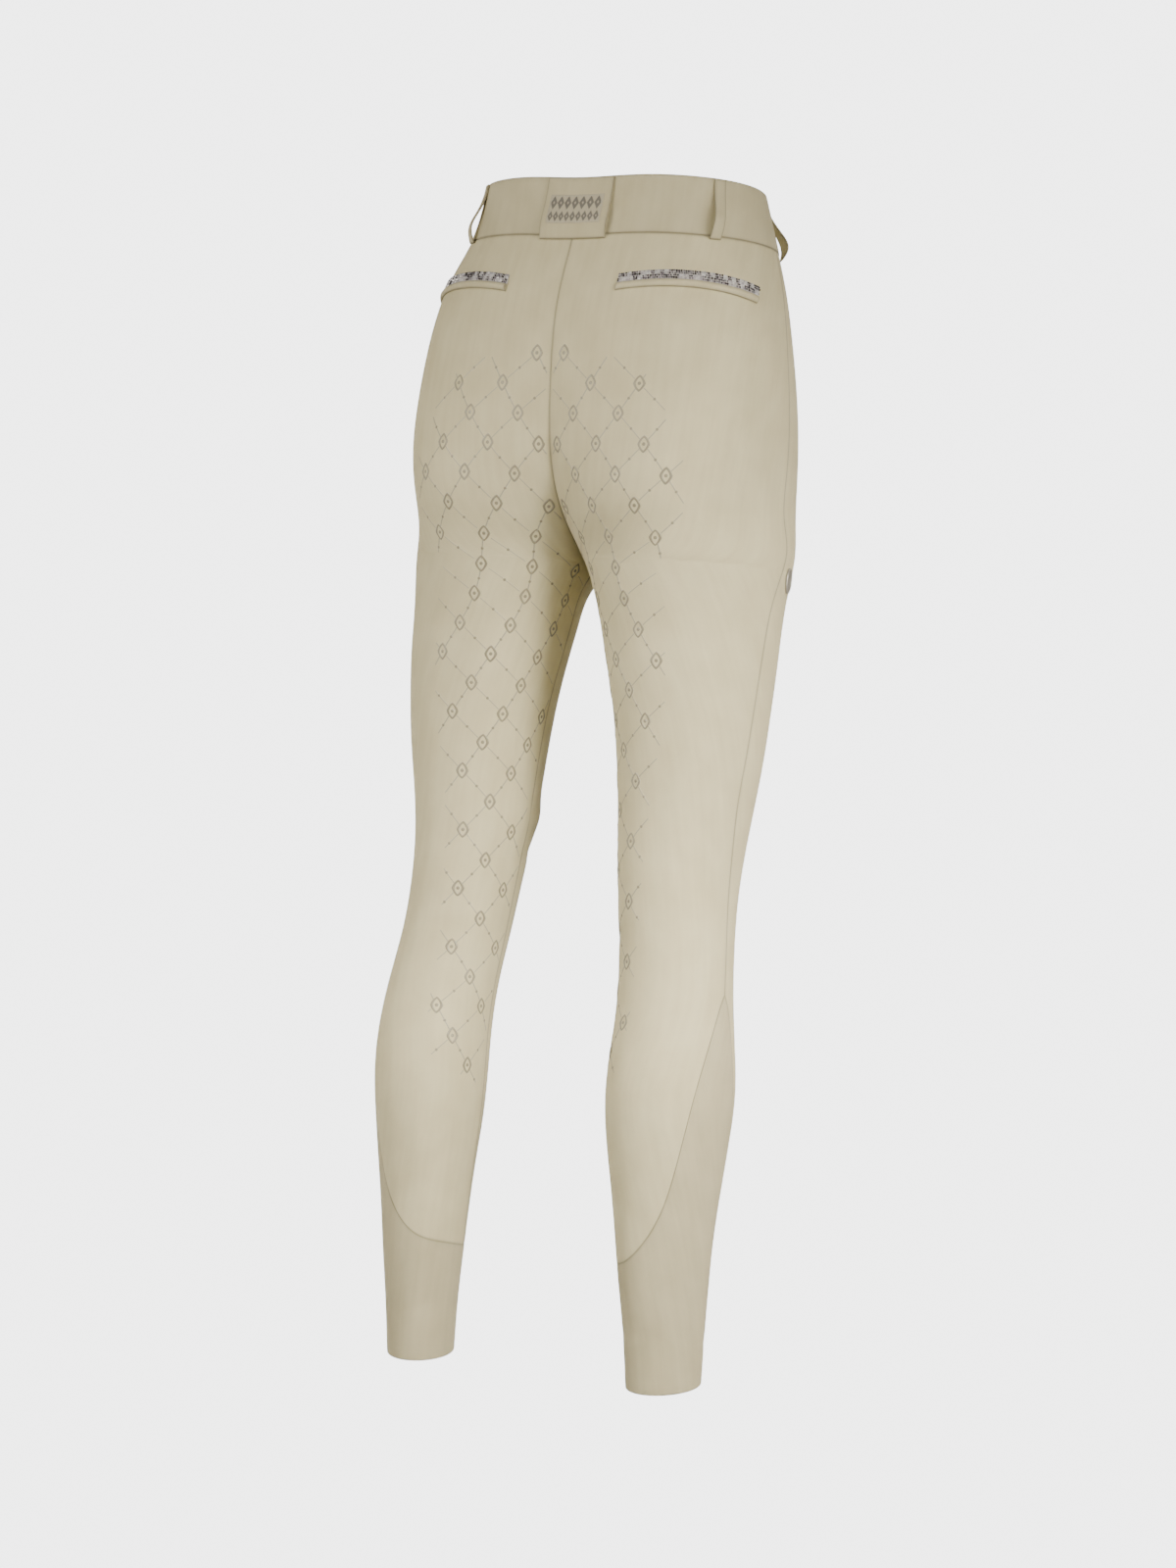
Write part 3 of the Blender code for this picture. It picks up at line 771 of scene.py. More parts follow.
def strap_places(middles, width, ends, counts):
    """Heights and signed distances of a strap's points, from its top end down."""
    down = crowded(counts[0])[:, None]
    across = (crowded(counts[1]) - 0.5) * width
    height = ends[0] + down * (ends[1] - ends[0])
    distance = middles[0] + down * (middles[1] - middles[0]) + across
    return np.broadcast_arrays(height, distance)


def strap(name, middles, width, ends, stand, thickness, counts, twist=0.0):
    """A strap over the band, from its top edge to below its seam, bowed off it in between.

    A twist makes one edge stand off further than the other.
    """
    height, distance = strap_places(middles, width, ends, counts)
    edge = 2 * crowded(counts[1]) - 1
    out = BAND_PROUD + SEAT + thickness + bow(height, ends, stand) + bow(height, ends, twist) * edge
    grid, normals = both_sides(height, distance, out)
    cloth_map = np.stack([distance, height], axis=-1)
    return wall(name, grid, normals, [rim(thickness)], thickness, cloth_map)


def belt_loops():
    """Four narrow loops, a back one and a front one on each side."""
    for side, sign in (("left", 1), ("right", -1)):
        for place, distances in LOOP_PLACES.items():
            middles = [sign * distance for distance in distances]
            node = f"belt_loop_{place}_{side}"
            twist = LOOP_TWISTS[f"{place}_{side}"]
            sizes = LOOP_WIDTH, LOOP_ENDS, LOOP_STAND, LOOP_CLOTH, LOOP_STEPS
            piece = strap(node + "_cloth", middles, *sizes, twist)
            dress(piece, "band_cloth", node)


def back_tab():
    """The wide loop over the middle of the back."""
    sizes = TAB_WIDTH, TAB_ENDS, TAB_STAND, TAB_CLOTH, TAB_STEPS
    piece = strap("back_tab_cloth", (0, 0), *sizes)
    dress(piece, "band_cloth", "back_tab")


def label_face(height):
    """How far the label's face stands off the skin."""
    tab_face = BAND_PROUD + SEAT + TAB_CLOTH + bow(height, TAB_ENDS, TAB_STAND)
    return tab_face + SEAT + LABEL_CLOTH


def back_label():
    """The woven patch on the tab, with two rows of plain lozenges in its weave."""
    height, distance = strap_places((0, 0), LABEL_WIDTH, LABEL_ENDS, LABEL_STEPS)
    grid, normals = both_sides(height, distance, label_face(height))
    cloth_map = np.stack([distance, height], axis=-1)
    piece = wall(
        "back_label_cloth", grid, normals, [rim(LABEL_CLOTH)], LABEL_CLOTH, cloth_map
    )
    dress(piece, "label_weave", "back_label")


# Back pockets


def pocket_place(along, below):
    """Height and distance on a pocket's arched line, from -1 to 1 along it, and below it."""
    line = POCKET_TOP - POCKET_ARCH * along**2 - POCKET_TILT * along
    return line - below, POCKET_MIDDLE + POCKET_HALF * along


def pocket_strip(name, below, width, thickness, bulge, side):
    """A strip along the pocket's line: its face bulges by bulge times sin(pi s), s down it."""
    rows, columns = POCKET_STEPS
    along, down = np.meshgrid(crowded(columns) * 2 - 1, crowded(rows))
    height, distance = pocket_place(along, below + down * width)
    out = SEAT + thickness + bulge * np.sin(math.pi * down)
    grid, normals = raised(height, around(height, distance), out)
    cloth_map = np.stack([distance, height], axis=-1)
    return wall(
        name, grid, normals, [rim(thickness)], thickness, cloth_map, side == "right"
    )


def pocket_welt(side):
    """The pocket's lip, a rounded double fold below the stones."""
    below = STONES_HEIGHT + SEAM_GAP
    piece = pocket_strip(
        f"pocket_welt_{side}_cloth", below, WELT_HEIGHT, WELT_CLOTH, WELT_BULGE, side
    )
    dress(piece, "band_cloth", f"pocket_welt_{side}")


# Stones: a stone's parts are shares of its radius
STONE_ROWS = 4
STONES_ALONG = 66
STONE_SIZE = 0.00108
STONE_SIZES = (0.78, 1.12)
STONE_LENGTHS = (0.85, 1.15)
STONE_SIDES = 7
TABLE_RADIUS = 0.58
TABLE_TURN = 0.45
TABLE_RISE = 0.62
FOOT_DEPTH = 0.25

# Their places, in steps along and across: every other row is shifted, and each stone strays
ROW_SHIFT = 0.32
STRAY = 0.22
STRAY_STEP = 0.0011
ROWS_OVER = 0.15
FIRST_ROW = 0.58
STRIP_REACH = 0.985

# Their shades, from 0 for the darkest to 1. Patches are two stones long and two rows high.
STONES_DARK = 0.56
DARK_SHADE = 0.22
PALE_SHADE = 0.76
SHADE_SPREAD = (-0.25, 0.2)
PATCH_SHIFT = 1.3
PATCHES_APART = 40


def unit_stone():
    """A cut stone of radius 1: a girdle, a narrower table above it and a flat foot."""
    turns = np.arange(STONE_SIDES) * 2 * math.pi / STONE_SIDES
    ring = np.stack([np.cos(turns), np.sin(turns), np.zeros(STONE_SIDES)], axis=-1)
    table = np.stack([np.cos(turns + TABLE_TURN), np.sin(turns + TABLE_TURN)], axis=-1)
    table = TABLE_RADIUS * table
    table = np.concatenate([table, np.full((STONE_SIDES, 1), TABLE_RISE)], axis=1)
    points = np.concatenate([ring, table, [[0, 0, TABLE_RISE], [0, 0, -FOOT_DEPTH]]])
    low = np.arange(STONE_SIDES)
    following = (low + 1) % STONE_SIDES
    high, next_high = low + STONE_SIDES, following + STONE_SIDES
    faces = np.concatenate(
        [
            np.stack([low, following, high], axis=-1),
            np.stack([following, next_high, high], axis=-1),
            cone(2 * STONE_SIDES, high),
            cone(2 * STONE_SIDES + 1, low[::-1]),
        ]
    )
    return points, faces


def on_skin(side, height, distance, out):
    """Places on one leg, and the ways round to the wearer's left, down and out there."""
    angle, step = around(height, distance), 0.0005
    points, normals = raised(height, angle, out)
    along = skin(height, around(height, distance + step)) - skin(height, angle)
    if side == "right":
        points, normals, along = points * MIRROR, normals * MIRROR, -along * MIRROR
    along = unit_length(along - (along * normals).sum(axis=-1, keepdims=True) * normals)
    return points, along, np.cross(normals, along), normals


def scattered(name, unit, places, sizes, turns, fields=None, lift=0.0):
    """One mesh of many copies of a small shape, each sized and turned on its own place.

    The lift is how much further out each copy's points lie than on the flat.
    """
    shape, faces = unit
    points, along, down, facing = places
    scaled = shape[None] * sizes[:, None, :]
    risen = scaled[..., 2] + lift
    cosine, sine = np.cos(turns)[:, None], np.sin(turns)[:, None]
    x = scaled[..., 0] * cosine - scaled[..., 1] * sine
    y = scaled[..., 0] * sine + scaled[..., 1] * cosine
    spread = (
        points[:, None]
        + x[..., None] * along[:, None]
        + y[..., None] * down[:, None]
        + risen[..., None] * facing[:, None]
    )
    offsets = np.arange(len(points)) * len(shape)
    all_faces = (faces[None] + offsets[:, None, None]).reshape(-1, faces.shape[1])
    repeated = {key: np.repeat(value, len(shape)) for key, value in (fields or {}).items()}
    return put_mesh(name, spread.reshape(-1, 3), all_faces, None, repeated)


def pocket_stones(side):
    """The strip above the welt and its stones, in four uneven rows close together.

    Dark and pale stones come in patches of two by two.
    """
    width = STONES_HEIGHT + STONES_OVER
    strip = pocket_strip(
        f"pocket_stones_{side}_strip", -STONES_OVER, width, STONES_CLOTH, 0.0, side
    )
    dress(strip, "stones", f"pocket_stones_{side}", look="stones_net")
    chance = np.random.default_rng(7 if side == "left" else 8)
    along, row = np.meshgrid(np.arange(STONES_ALONG), np.arange(STONE_ROWS))
    along, row = along.ravel(), row.ravel()
    stray = chance.uniform(-STRAY, STRAY, (2, len(along)))
    step = 2.0 / STONES_ALONG
    place = -1 + step * (along + 0.5 + ROW_SHIFT * (row % 2) - ROW_SHIFT / 2 + stray[0])
    spacing = width / (STONE_ROWS + ROWS_OVER)
    below = spacing * (row + FIRST_ROW) - STONES_OVER + stray[1] * STRAY_STEP
    height, distance = pocket_place(np.clip(place, -STRIP_REACH, STRIP_REACH), below)
    places = on_skin(side, height, distance, np.full(len(along), SEAT + STONES_CLOTH))
    size = STONE_SIZE * chance.uniform(*STONE_SIZES, len(along))
    sizes = np.stack([size * chance.uniform(*STONE_LENGTHS, len(along)), size, size], axis=-1)
    turns = chance.uniform(0, 2 * math.pi, len(along))
    pair = row // 2
    patch = (along + PATCH_SHIFT * pair).astype(int) // 2 + PATCHES_APART * pair
    dark = chance.uniform(0, 1, 2 * STONES_ALONG)[patch] < STONES_DARK
    tone = np.where(dark, DARK_SHADE, PALE_SHADE) + chance.uniform(*SHADE_SPREAD, len(along))
    piece = scattered(
        f"pocket_stones_{side}_cut", unit_stone(), places, sizes, turns, {"shade": tone}
    )
    piece.data.shade_flat()
    trim(piece, "stones")


# Grip print: diamonds of fine lines on the seat and inner legs, a lozenge ring with a dot on
# each crossing and a dot halfway along each side. It is laid out by height and by the distance
# back from the side seam, and its outline by the distance from the middle or the inseam.


PRINT_COLUMNS = "height reach".split()
PRINT_EDGE = [
    (-0.1400, 0.000),
    (-0.1500, 0.043),
    (-0.1640, 0.085),
    (-0.1920, 0.108),
    (-0.2170, 0.123),
    (-0.2525, 0.1365),
    (-0.2930, 0.1424),
    (-0.3360, 0.152),
    (-0.3760, 0.142),
    (-0.4160, 0.128),
    (-0.4730, 0.107),
    (-0.5100, 0.093),
    (-0.5460, 0.0865),
    (-0.5870, 0.079),
    (-0.6360, 0.071),
    (-0.6765, 0.0665),
    (-0.7165, 0.071),
    (-0.7520, 0.066),
    (-0.7700, 0.020),
]

# The trellis: a diamond's width and height, its first place and how many there are
DIAMOND = (0.044, 0.050)
DIAMOND_START = 0.25
DIAMOND_ROWS = 27
DIAMOND_COLUMNS = 6
PRINT_TOP = -0.1540
PRINT_CLEAR = 0.0030

# Its relief; each foot is sunk in the cloth a little
PRINT_SINK = 0.0002
LINE_STEP = 0.0015
LINE_HALF = 0.00060
LINE_FLAT = 0.45
LINE_RISE = 0.00018
RING_HALVES = (0.0042, 0.0062)
RING_POWER = 1.35
RING_BREADTH = 0.0026
RING_RISE = 0.00032
CENTRE_RADIUS = 0.0016
DOT_RADIUS = 0.0013
DOT_RISE = 0.00036


def print_reach(height):
    """How far round from the middle of the back or the inseam the print goes."""
    edge = dict(zip(PRINT_COLUMNS, np.array(sorted(PRINT_EDGE)).T))
    return np.interp(height, edge["height"], edge["reach"], left=0.0, right=0.0)


def from_seam(height, from_side):
    """Distances round from the back's seam, from distances back from the side seam."""
    return distance_round(height, section("side", height)) - from_side


def in_print(height, from_side, clear):
    """Whether places are in the print's outline by at least a clearance."""
    distance = from_seam(height, from_side)
    return (distance > PRINT_CLEAR + clear) & (distance < print_reach(height) - clear)


def crossings():
    """Heights and distances from the side seam of the trellis's crossings: two even grids,
    half a diamond apart."""
    wide, tall = DIAMOND
    places = np.arange(DIAMOND_ROWS), np.arange(DIAMOND_COLUMNS)
    row, column = np.meshgrid(*places, indexing="ij")
    from_side = (column + 0.5 * (row % 2) + DIAMOND_START) * wide
    height = PRINT_TOP - row * tall / 2
    return height.ravel(), from_side.ravel()


def trellis_lines():
    """The trellis's sides from ring to ring: rows of height and distance from the side."""
    wide, tall = DIAMOND
    height, from_side = crossings()
    lines = []
    for lean in (-1, 1):
        way = np.array([-tall / 2, lean * wide / 2])
        ring_part = 1 / math.hypot(way[1] / RING_HALVES[0], way[0] / RING_HALVES[1])
        count = int(np.linalg.norm(way) / LINE_STEP)
        steps = ring_part + np.linspace(0.0, 1.0, count + 1) * (1 - 2 * ring_part)
        for start in zip(height, from_side):
            points = np.array(start) + steps[:, None] * way
            kept = in_print(points[:, 0], points[:, 1], 0.0)
            if kept.sum() > 3:
                lines.append(points[kept])
    return lines


def ribbon(side, line):
    """A fine raised line: four points across, the outer two sunk in the cloth."""
    way = unit_length(np.gradient(line, axis=0))
    aside = np.stack([way[:, 1], -way[:, 0]], axis=-1)
    offsets = np.array([1.0, LINE_FLAT, -LINE_FLAT, -1.0]) * LINE_HALF
    rises = np.array([-PRINT_SINK, LINE_RISE, LINE_RISE, -PRINT_SINK])
    height = line[:, :1] + aside[:, :1] * offsets
    distance = from_seam(height, line[:, 1:] + aside[:, 1:] * offsets)
    angle = around(height, distance)
    return raised(height, angle, rises + creased(side, height, angle))[0]


def tube_faces(rows, columns, start):
    """Quads of a tube with rows along it and columns round it, and its two end caps."""
    index = index_grid(rows, columns, start)
    return np.concatenate([quads_of(wrapped(index))[:, ::-1], [index[0, ::-1], index[-1]]])


def unit_ring(around_steps=26, across_steps=5):
    """A lozenge ring lying flat: superellipse of RING_POWER, a low arch across its band."""
    turn = full_turn(around_steps)
    power = 2 / RING_POWER
    x = np.sign(np.cos(turn)) * np.abs(np.cos(turn)) ** power
    y = np.sign(np.sin(turn)) * np.abs(np.sin(turn)) ** power
    across = np.linspace(-1, 1, across_steps)
    halves = np.array(RING_HALVES)
    outer_x = x[:, None] * (halves[0] + across * RING_BREADTH / 2)
    outer_y = y[:, None] * (halves[1] + across * RING_BREADTH / 2)
    rise = RING_RISE * np.sqrt(np.clip(1 - across**2, 0, 1))
    rise = rise - PRINT_SINK * np.abs(across) ** 6
    points = np.stack([outer_x, outer_y, np.broadcast_to(rise, outer_x.shape)], axis=-1)
    ring = wrapped(index_grid(around_steps, across_steps).T)
    return points.reshape(-1, 3), np.concatenate([quads_of(ring), quads_of(ring[[-1, 0]])])


def unit_dot(around_steps=14, rings=4):
    """A low dome: rings at radius sin(t) and height cos(t), closed by a point and a foot."""
    turn = full_turn(around_steps)
    slope = np.linspace(0, math.pi / 2, rings + 1)[1:]
    radius, rise = DOT_RADIUS * np.sin(slope), DOT_RISE * np.cos(slope)
    rise[-1] = -PRINT_SINK
    x = radius[:, None] * np.cos(turn)
    y = radius[:, None] * np.sin(turn)
    points = np.stack([x, y, np.broadcast_to(rise[:, None], x.shape)], axis=-1)
    points = np.concatenate([points.reshape(-1, 3), [[0, 0, DOT_RISE], [0, 0, -PRINT_SINK]]])
    return points, closed_faces(rings, around_steps)


def grip_lines(side):
    """All the trellis's lines on one leg, as one piece."""
    points, faces, start = [], [], 0
    for line in trellis_lines():
        strip = ribbon(side, line)
        rows, columns = strip.shape[:2]
        points.append(strip.reshape(-1, 3))
        faces.append(tube_faces(rows, columns, start))
        start += rows * columns
    points, faces = np.concatenate(points), np.concatenate(faces)
    if side == "right":
        points, faces = points * MIRROR, faces[:, ::-1]
    return put_mesh(f"grip_lines_{side}", points, faces)


def motifs(name, unit, side, height, from_side, size):
    """Copies of a small raised shape on one leg, upright on the cloth, bent with its creases."""
    distance = from_seam(height, from_side)
    out = creased(side, height, around(height, distance))
    places = on_skin(side, height, distance, out)
    sizes = np.full((len(height), 3), size)
    sign = 1 if side == "left" else -1
    near_height = height[:, None] - size * unit[0][:, 1]
    near_distance = distance[:, None] + sign * size * unit[0][:, 0]
    lift = creased(side, near_height, around(near_height, near_distance)) - out[:, None]
    return scattered(name, unit, places, sizes, np.zeros(len(height)), None, lift)


def grip_print(side):
    """The print of one leg: its lines, its rings and its dots."""
    wide, tall = DIAMOND
    height, from_side = crossings()
    ringed = in_print(height, from_side, RING_HALVES[0] + RING_BREADTH / 2)
    rings = height[ringed], from_side[ringed]
    halfway = [(height - tall / 4, from_side + lean * wide / 4) for lean in (-1, 1)]
    dots = np.concatenate(halfway, axis=1)
    dots = dots[:, in_print(dots[0], dots[1], DOT_RADIUS)]
    trim(grip_lines(side), "grip_line")
    for name, unit, places, size in (
        ("rings", unit_ring(), rings, 1.0),
        ("centres", unit_dot(), rings, CENTRE_RADIUS / DOT_RADIUS),
        ("dots", unit_dot(), dots, 1.0),
    ):
        piece = motifs(f"grip_{name}_{side}", unit, side, *places, size)
        trim(piece, "grip_silicone")


# Badge, button and stitches


def plate(centre, facing, halves, profile, around_steps=56):
    """A turned plate: rings of a profile of radius and rise, squeezed to an oval, facing out."""
    facing = unit_length(facing)
    across = unit_length(np.cross([0.0, 0.0, 1.0], facing))
    upward = np.cross(facing, across)
    turn = full_turn(around_steps)
    radius, rise = np.array(profile, float).T
    x = radius[:, None] * np.cos(turn) * halves[0]
    y = radius[:, None] * np.sin(turn) * halves[1]
    z = np.broadcast_to(rise[:, None], x.shape)
    points = centre + x[..., None] * across + y[..., None] * upward + z[..., None] * facing
    return points, across, upward, facing


def capped(rings):
    """A turned plate's points and faces: its rings, from its middle out and round to its back,
    with the first and the last closed by triangles to their middles."""
    middles = [ring.mean(axis=0) for ring in (rings[0], rings[-1, ::-1])]
    return np.concatenate([rings.reshape(-1, 3), middles]), closed_faces(*rings.shape[:2])


# Profiles from the middle out and round to the back: radius as a share of the half size, rise
BADGE_PROFILE = [
    (0.02, 0.00165),
    (0.30, 0.00160),
    (0.55, 0.00148),
    (0.74, 0.00128),
    (0.79, 0.00118),
    (0.82, 0.00135),
    (0.86, 0.00172),
    (0.91, 0.00186),
    (0.96, 0.00168),
    (0.99, 0.00120),
    (1.00, 0.00060),
    (0.985, 0.00000),
]


def thigh_badge():
    """A plain domed oval plate with a raised rim, on the outside of the right thigh."""
    centre, facing = raised(np.array(BADGE_HEIGHT), np.array(BADGE_ANGLE), SEAT)
    rings = plate(centre * MIRROR, facing * MIRROR, BADGE_HALVES, BADGE_PROFILE)[0]
    piece = put_mesh("thigh_badge_plate", *capped(rings))
    dress(piece, "badge_metal", "thigh_badge")


BUTTON_PROFILE = [
    (0.02, 0.0021),
    (0.12, 0.0021),
    (0.22, 0.0021),
    (0.30, 0.0021),
    (0.38, 0.0021),
    (0.46, 0.0021),
    (0.56, 0.0022),
    (0.66, 0.0025),
    (0.74, 0.0029),
    (0.84, 0.0032),
    (0.93, 0.0030),
    (0.98, 0.0024),
    (1.00, 0.0015),
    (0.97, 0.0007),
    (0.88, 0.0002),
    (0.70, 0.0000),
]
BUTTON_FACE = 0.0018
HOLE_PLACE = 0.0019
HOLE_RADIUS = 0.00075
HOLE_DEPTH = 0.0013

# The button's threads: how far past its holes they go, apart and up, and down in the holes
THREAD_RADIUS = 0.00028
THREAD_REACH = 1.12
THREAD_APART = 0.0002
THREAD_RISE = 0.0023
THREAD_DIP = 0.0011


def front_button():
    """The button on the lap: a rim, a sunk middle, four thread holes and crossed threads."""
    out = BAND_PROUD + BAND_CLOTH + 2 * SEAT
    centre, facing = raised(np.array(BAND_SEAM / 2), np.array(180.0), out)
    halves = (BUTTON_RADIUS, BUTTON_RADIUS)
    rings, across, upward, facing = plate(centre, facing, halves, BUTTON_PROFILE)
    flat = rings - centre
    x, y = flat @ across, flat @ upward
    well = np.zeros(x.shape)
    for over, up in ((1, 1), (1, -1), (-1, 1), (-1, -1)):
        off = np.hypot(x - over * HOLE_PLACE, y - up * HOLE_PLACE)
        well += HOLE_DEPTH * np.exp(-((off / HOLE_RADIUS) ** 4))
    face = (flat @ facing > BUTTON_FACE)[..., None]
    rings = rings - np.where(face, well[..., None] * facing, 0.0)
    piece = put_mesh("front_button_face", *capped(rings))
    dress(piece, "button_resin", "front_button")
    threads = []
    for sign in (1, -1):
        for aside in (-THREAD_APART, THREAD_APART):
            run = np.linspace(-THREAD_REACH, THREAD_REACH, 11)[:, None]
            arch = THREAD_RISE - THREAD_DIP * run**6
            line = run * HOLE_PLACE * (across + sign * upward) + arch * facing
            threads.append(centre + line + aside * (across - sign * upward))
    sewing = tubes("front_button_thread", threads, THREAD_RADIUS, facing)
    trim(sewing, "sewing_thread")


def tubes(name, lines, radius, facing, sides=6):
    """Thin round threads along lines: circles square to each line's way, closed at the ends."""
    turn = full_turn(sides)
    points, faces, start = [], [], 0
    for line in lines:
        way = unit_length(np.gradient(line, axis=0))
        side = unit_length(np.cross(way, np.broadcast_to(facing, way.shape)))
        up = np.cross(side, way)
        circle = side[:, None] * np.cos(turn)[:, None] + up[:, None] * np.sin(turn)[:, None]
        tube = line[:, None] + circle * radius
        points.append(tube.reshape(-1, 3))
        index = index_grid(len(line), sides, start)
        faces += [triangles_of(quads_of(wrapped(index))), fan(index[0]), fan(index[-1, ::-1])]
        start += len(tube) * sides
    return put_mesh(name, np.concatenate(points), np.concatenate(faces))


# Stitches: the arch is in radii
STITCH_LENGTH = 0.0027
STITCH_PITCH = 0.0034
STITCH_RADIUS = 0.00024
STITCH_FULLNESS = 1.12
STITCH_THINNEST = 0.05
STITCH_RISE = 0.5
STITCH_ARCH = 1.3


def unit_stitch(sides=6, rings=5):
    """One stitch along x: a spindle, round across, arched down into the cloth at its ends."""
    run = np.linspace(-1, 1, rings)
    thick = STITCH_RADIUS * np.sqrt(np.clip(STITCH_FULLNESS - run**4, STITCH_THINNEST, 1))
    turn = full_turn(sides)
    x = np.broadcast_to((run * STITCH_LENGTH / 2)[:, None], (rings, sides))
    y = thick[:, None] * np.cos(turn)
    z = thick[:, None] * np.sin(turn)
    z = z + STITCH_RADIUS * (STITCH_RISE - STITCH_ARCH * run[:, None] ** 4)
    points = np.stack([x, y, z], axis=-1).reshape(-1, 3)
    index = index_grid(rings, sides)
    walls = triangles_of(quads_of(wrapped(index))[:, ::-1])
    ends = [fan(end)[:, ::-1] for end in (index[0], index[-1, ::-1])]
    return points, np.concatenate([walls, *ends])


def stitched(line):
    """Stitch middles and ways along a line of height and distance, at the stitch's pitch."""
    runs = np.linalg.norm(np.diff(line, axis=0), axis=1)
    way = np.concatenate([[0.0], np.cumsum(runs)])
    count = max(int(way[-1] / STITCH_PITCH), 1)
    at = (np.arange(count) + 0.5) * way[-1] / count
    height, distance = np.interp(at, way, line[:, 0]), np.interp(at, way, line[:, 1])
    step = STITCH_LENGTH / 2
    rise = np.interp(at + step, way, line[:, 0]) - np.interp(at - step, way, line[:, 0])
    run = np.interp(at + step, way, line[:, 1]) - np.interp(at - step, way, line[:, 1])
    return height, distance, np.arctan2(-rise, run)


def stitch_pieces(name, height, distance, turns, out):
    """Stitches at signed distances round the back, as one piece a side."""
    for side, kept in (("left", distance >= 0), ("right", distance < 0)):
        if kept.any():
            places = on_skin(side, height[kept], np.abs(distance[kept]), out[kept])
            sizes = np.ones((kept.sum(), 3))
            piece = scattered(f"{name}_{side}", unit_stitch(), places, sizes, turns[kept])
            trim(piece, "sewing_thread")


LABEL_STITCH_INSET = 0.0016


def label_stitches():
    """A line of stitches all round the label, just inside its edge."""
    half = LABEL_WIDTH / 2 - LABEL_STITCH_INSET
    top, low = LABEL_ENDS[0] - LABEL_STITCH_INSET, LABEL_ENDS[1] + LABEL_STITCH_INSET
    corners = [(top, -half), (top, half), (low, half), (low, -half), (top, -half)]
    parts = [stitched(np.array([a, b])) for a, b in zip(corners[:-1], corners[1:])]
    height, distance, turns = (np.concatenate(part) for part in zip(*parts))
    stitch_pieces("label_stitches", height, distance, turns, label_face(height))


FLY_TOP = BAND_SEAM - 0.004
FLY_REACH = 0.034
FLY_CURVE = 0.045
FLY_FOOT = -0.178
FLY_ROWS_APART = 0.0055
FLY_CLEAR = 0.002


def fly_stitches():
    """Two rows of stitches beside the centre front, which curve into it at the fly's foot."""
    rows = []
    for inset in (0.0, FLY_ROWS_APART):
        reach = FLY_REACH - inset
        foot = FLY_FOOT + inset
        turn = np.linspace(0, math.pi / 2, 24)
        height = np.concatenate([[FLY_TOP], foot + FLY_CURVE * (1 - np.sin(turn))])
        from_front = np.concatenate([[reach], np.maximum(reach * np.cos(turn), FLY_CLEAR)])
        distance = from_front - girth(height)
        rows.append(stitched(np.stack([height, distance], axis=-1)))
    height, distance, turns = (np.concatenate(part) for part in zip(*rows))
    out = creased("right", height, around(height, -distance))
    stitch_pieces("fly_stitches", height, distance, turns, out)


# Finishes


def shade(colour):
    """Linear colour from sRGB hex."""
    parts = [int(colour[at : at + 2], 16) / 255 for at in (0, 2, 4)]
    linear = [
        part / 12.92 if part < 0.04045 else ((part + 0.055) / 1.055) ** 2.4
        for part in parts
    ]
    return (*linear, 1.0)


def node(tree, kind, values=None, **settings):
    """A node with its settings and its input values or links."""
    made = tree.nodes.new("ShaderNode" + kind)
    for key, value in settings.items():
        setattr(made, key, value)
    for key, value in (values or {}).items():
        if isinstance(value, bpy.types.NodeSocket):
            tree.links.new(value, made.inputs[key])
        else:
            made.inputs[key].default_value = value
    return made


def maths(tree, operation, *values):
    """The result of a Math node."""
    made = node(tree, "Math", dict(enumerate(values)), operation=operation)
    return made.outputs[0]


def mixed(tree, share, one, other):
    """A colour between two, by a share."""
    made = node(tree, "Mix", data_type="RGBA")
    for socket, value in ((made.inputs[0], share), (made.inputs[6], one), (made.inputs[7], other)):
        if isinstance(value, bpy.types.NodeSocket):
            tree.links.new(value, socket)
        else:
            socket.default_value = value
    return made.outputs[2]


def finish(name, **sockets):
    """A material, its node tree and its shader, with constants on the shader's own sockets."""
    made = bpy.data.materials.new(name)
    made.use_nodes = True
    tree = made.node_tree
    shader = tree.nodes["Principled BSDF"]
    for key, value in sockets.items():
        shader.inputs[key.replace("_", " ")].default_value = value
    return made, tree, shader


def ranged(tree, value, low, high, to=(0.0, 1.0)):
    """A value's place between a low and a high one, from 0 to 1 or between two others."""
    made = node(tree, "MapRange", {0: value, 1: low, 2: high, 3: to[0], 4: to[1]})
    return made.outputs[0]


def noise(tree, coordinates, scale, detail):
    """Noise from 0 to 1."""
    made = node(tree, "TexNoise", {"Vector": coordinates, "Scale": scale, "Detail": detail})
    return made.outputs[0]


def object_noise(tree, scale, detail):
    """Noise through a whole piece, with a scale in cells a metre."""
    return noise(tree, node(tree, "TexCoord").outputs["Object"], scale, detail)


def cloth_coordinates(tree, cells):
    """The cloth's own map, stretched: cells a metre round the leg and up it."""
    place = node(tree, "UVMap", uv_map="cloth_map").outputs[0]
    return node(tree, "Mapping", {0: place, 3: (*cells, 1.0)}).outputs[0]


def cloth_noise(tree, cells, detail=1.0):
    """Noise on the cloth's own map."""
    return noise(tree, cloth_coordinates(tree, cells), 1.0, detail)


def coloured(tree, shader, colour):
    """A colour that varies, on the shader."""
    tree.links.new(colour, shader.inputs["Base Color"])


def bumped(tree, shader, depth, height):
    """Relief from heights of 0 to 1 and their depth."""
    bump = node(tree, "Bump", {"Strength": 1.0, "Distance": depth, "Height": height})
    tree.links.new(bump.outputs[0], shader.inputs["Normal"])


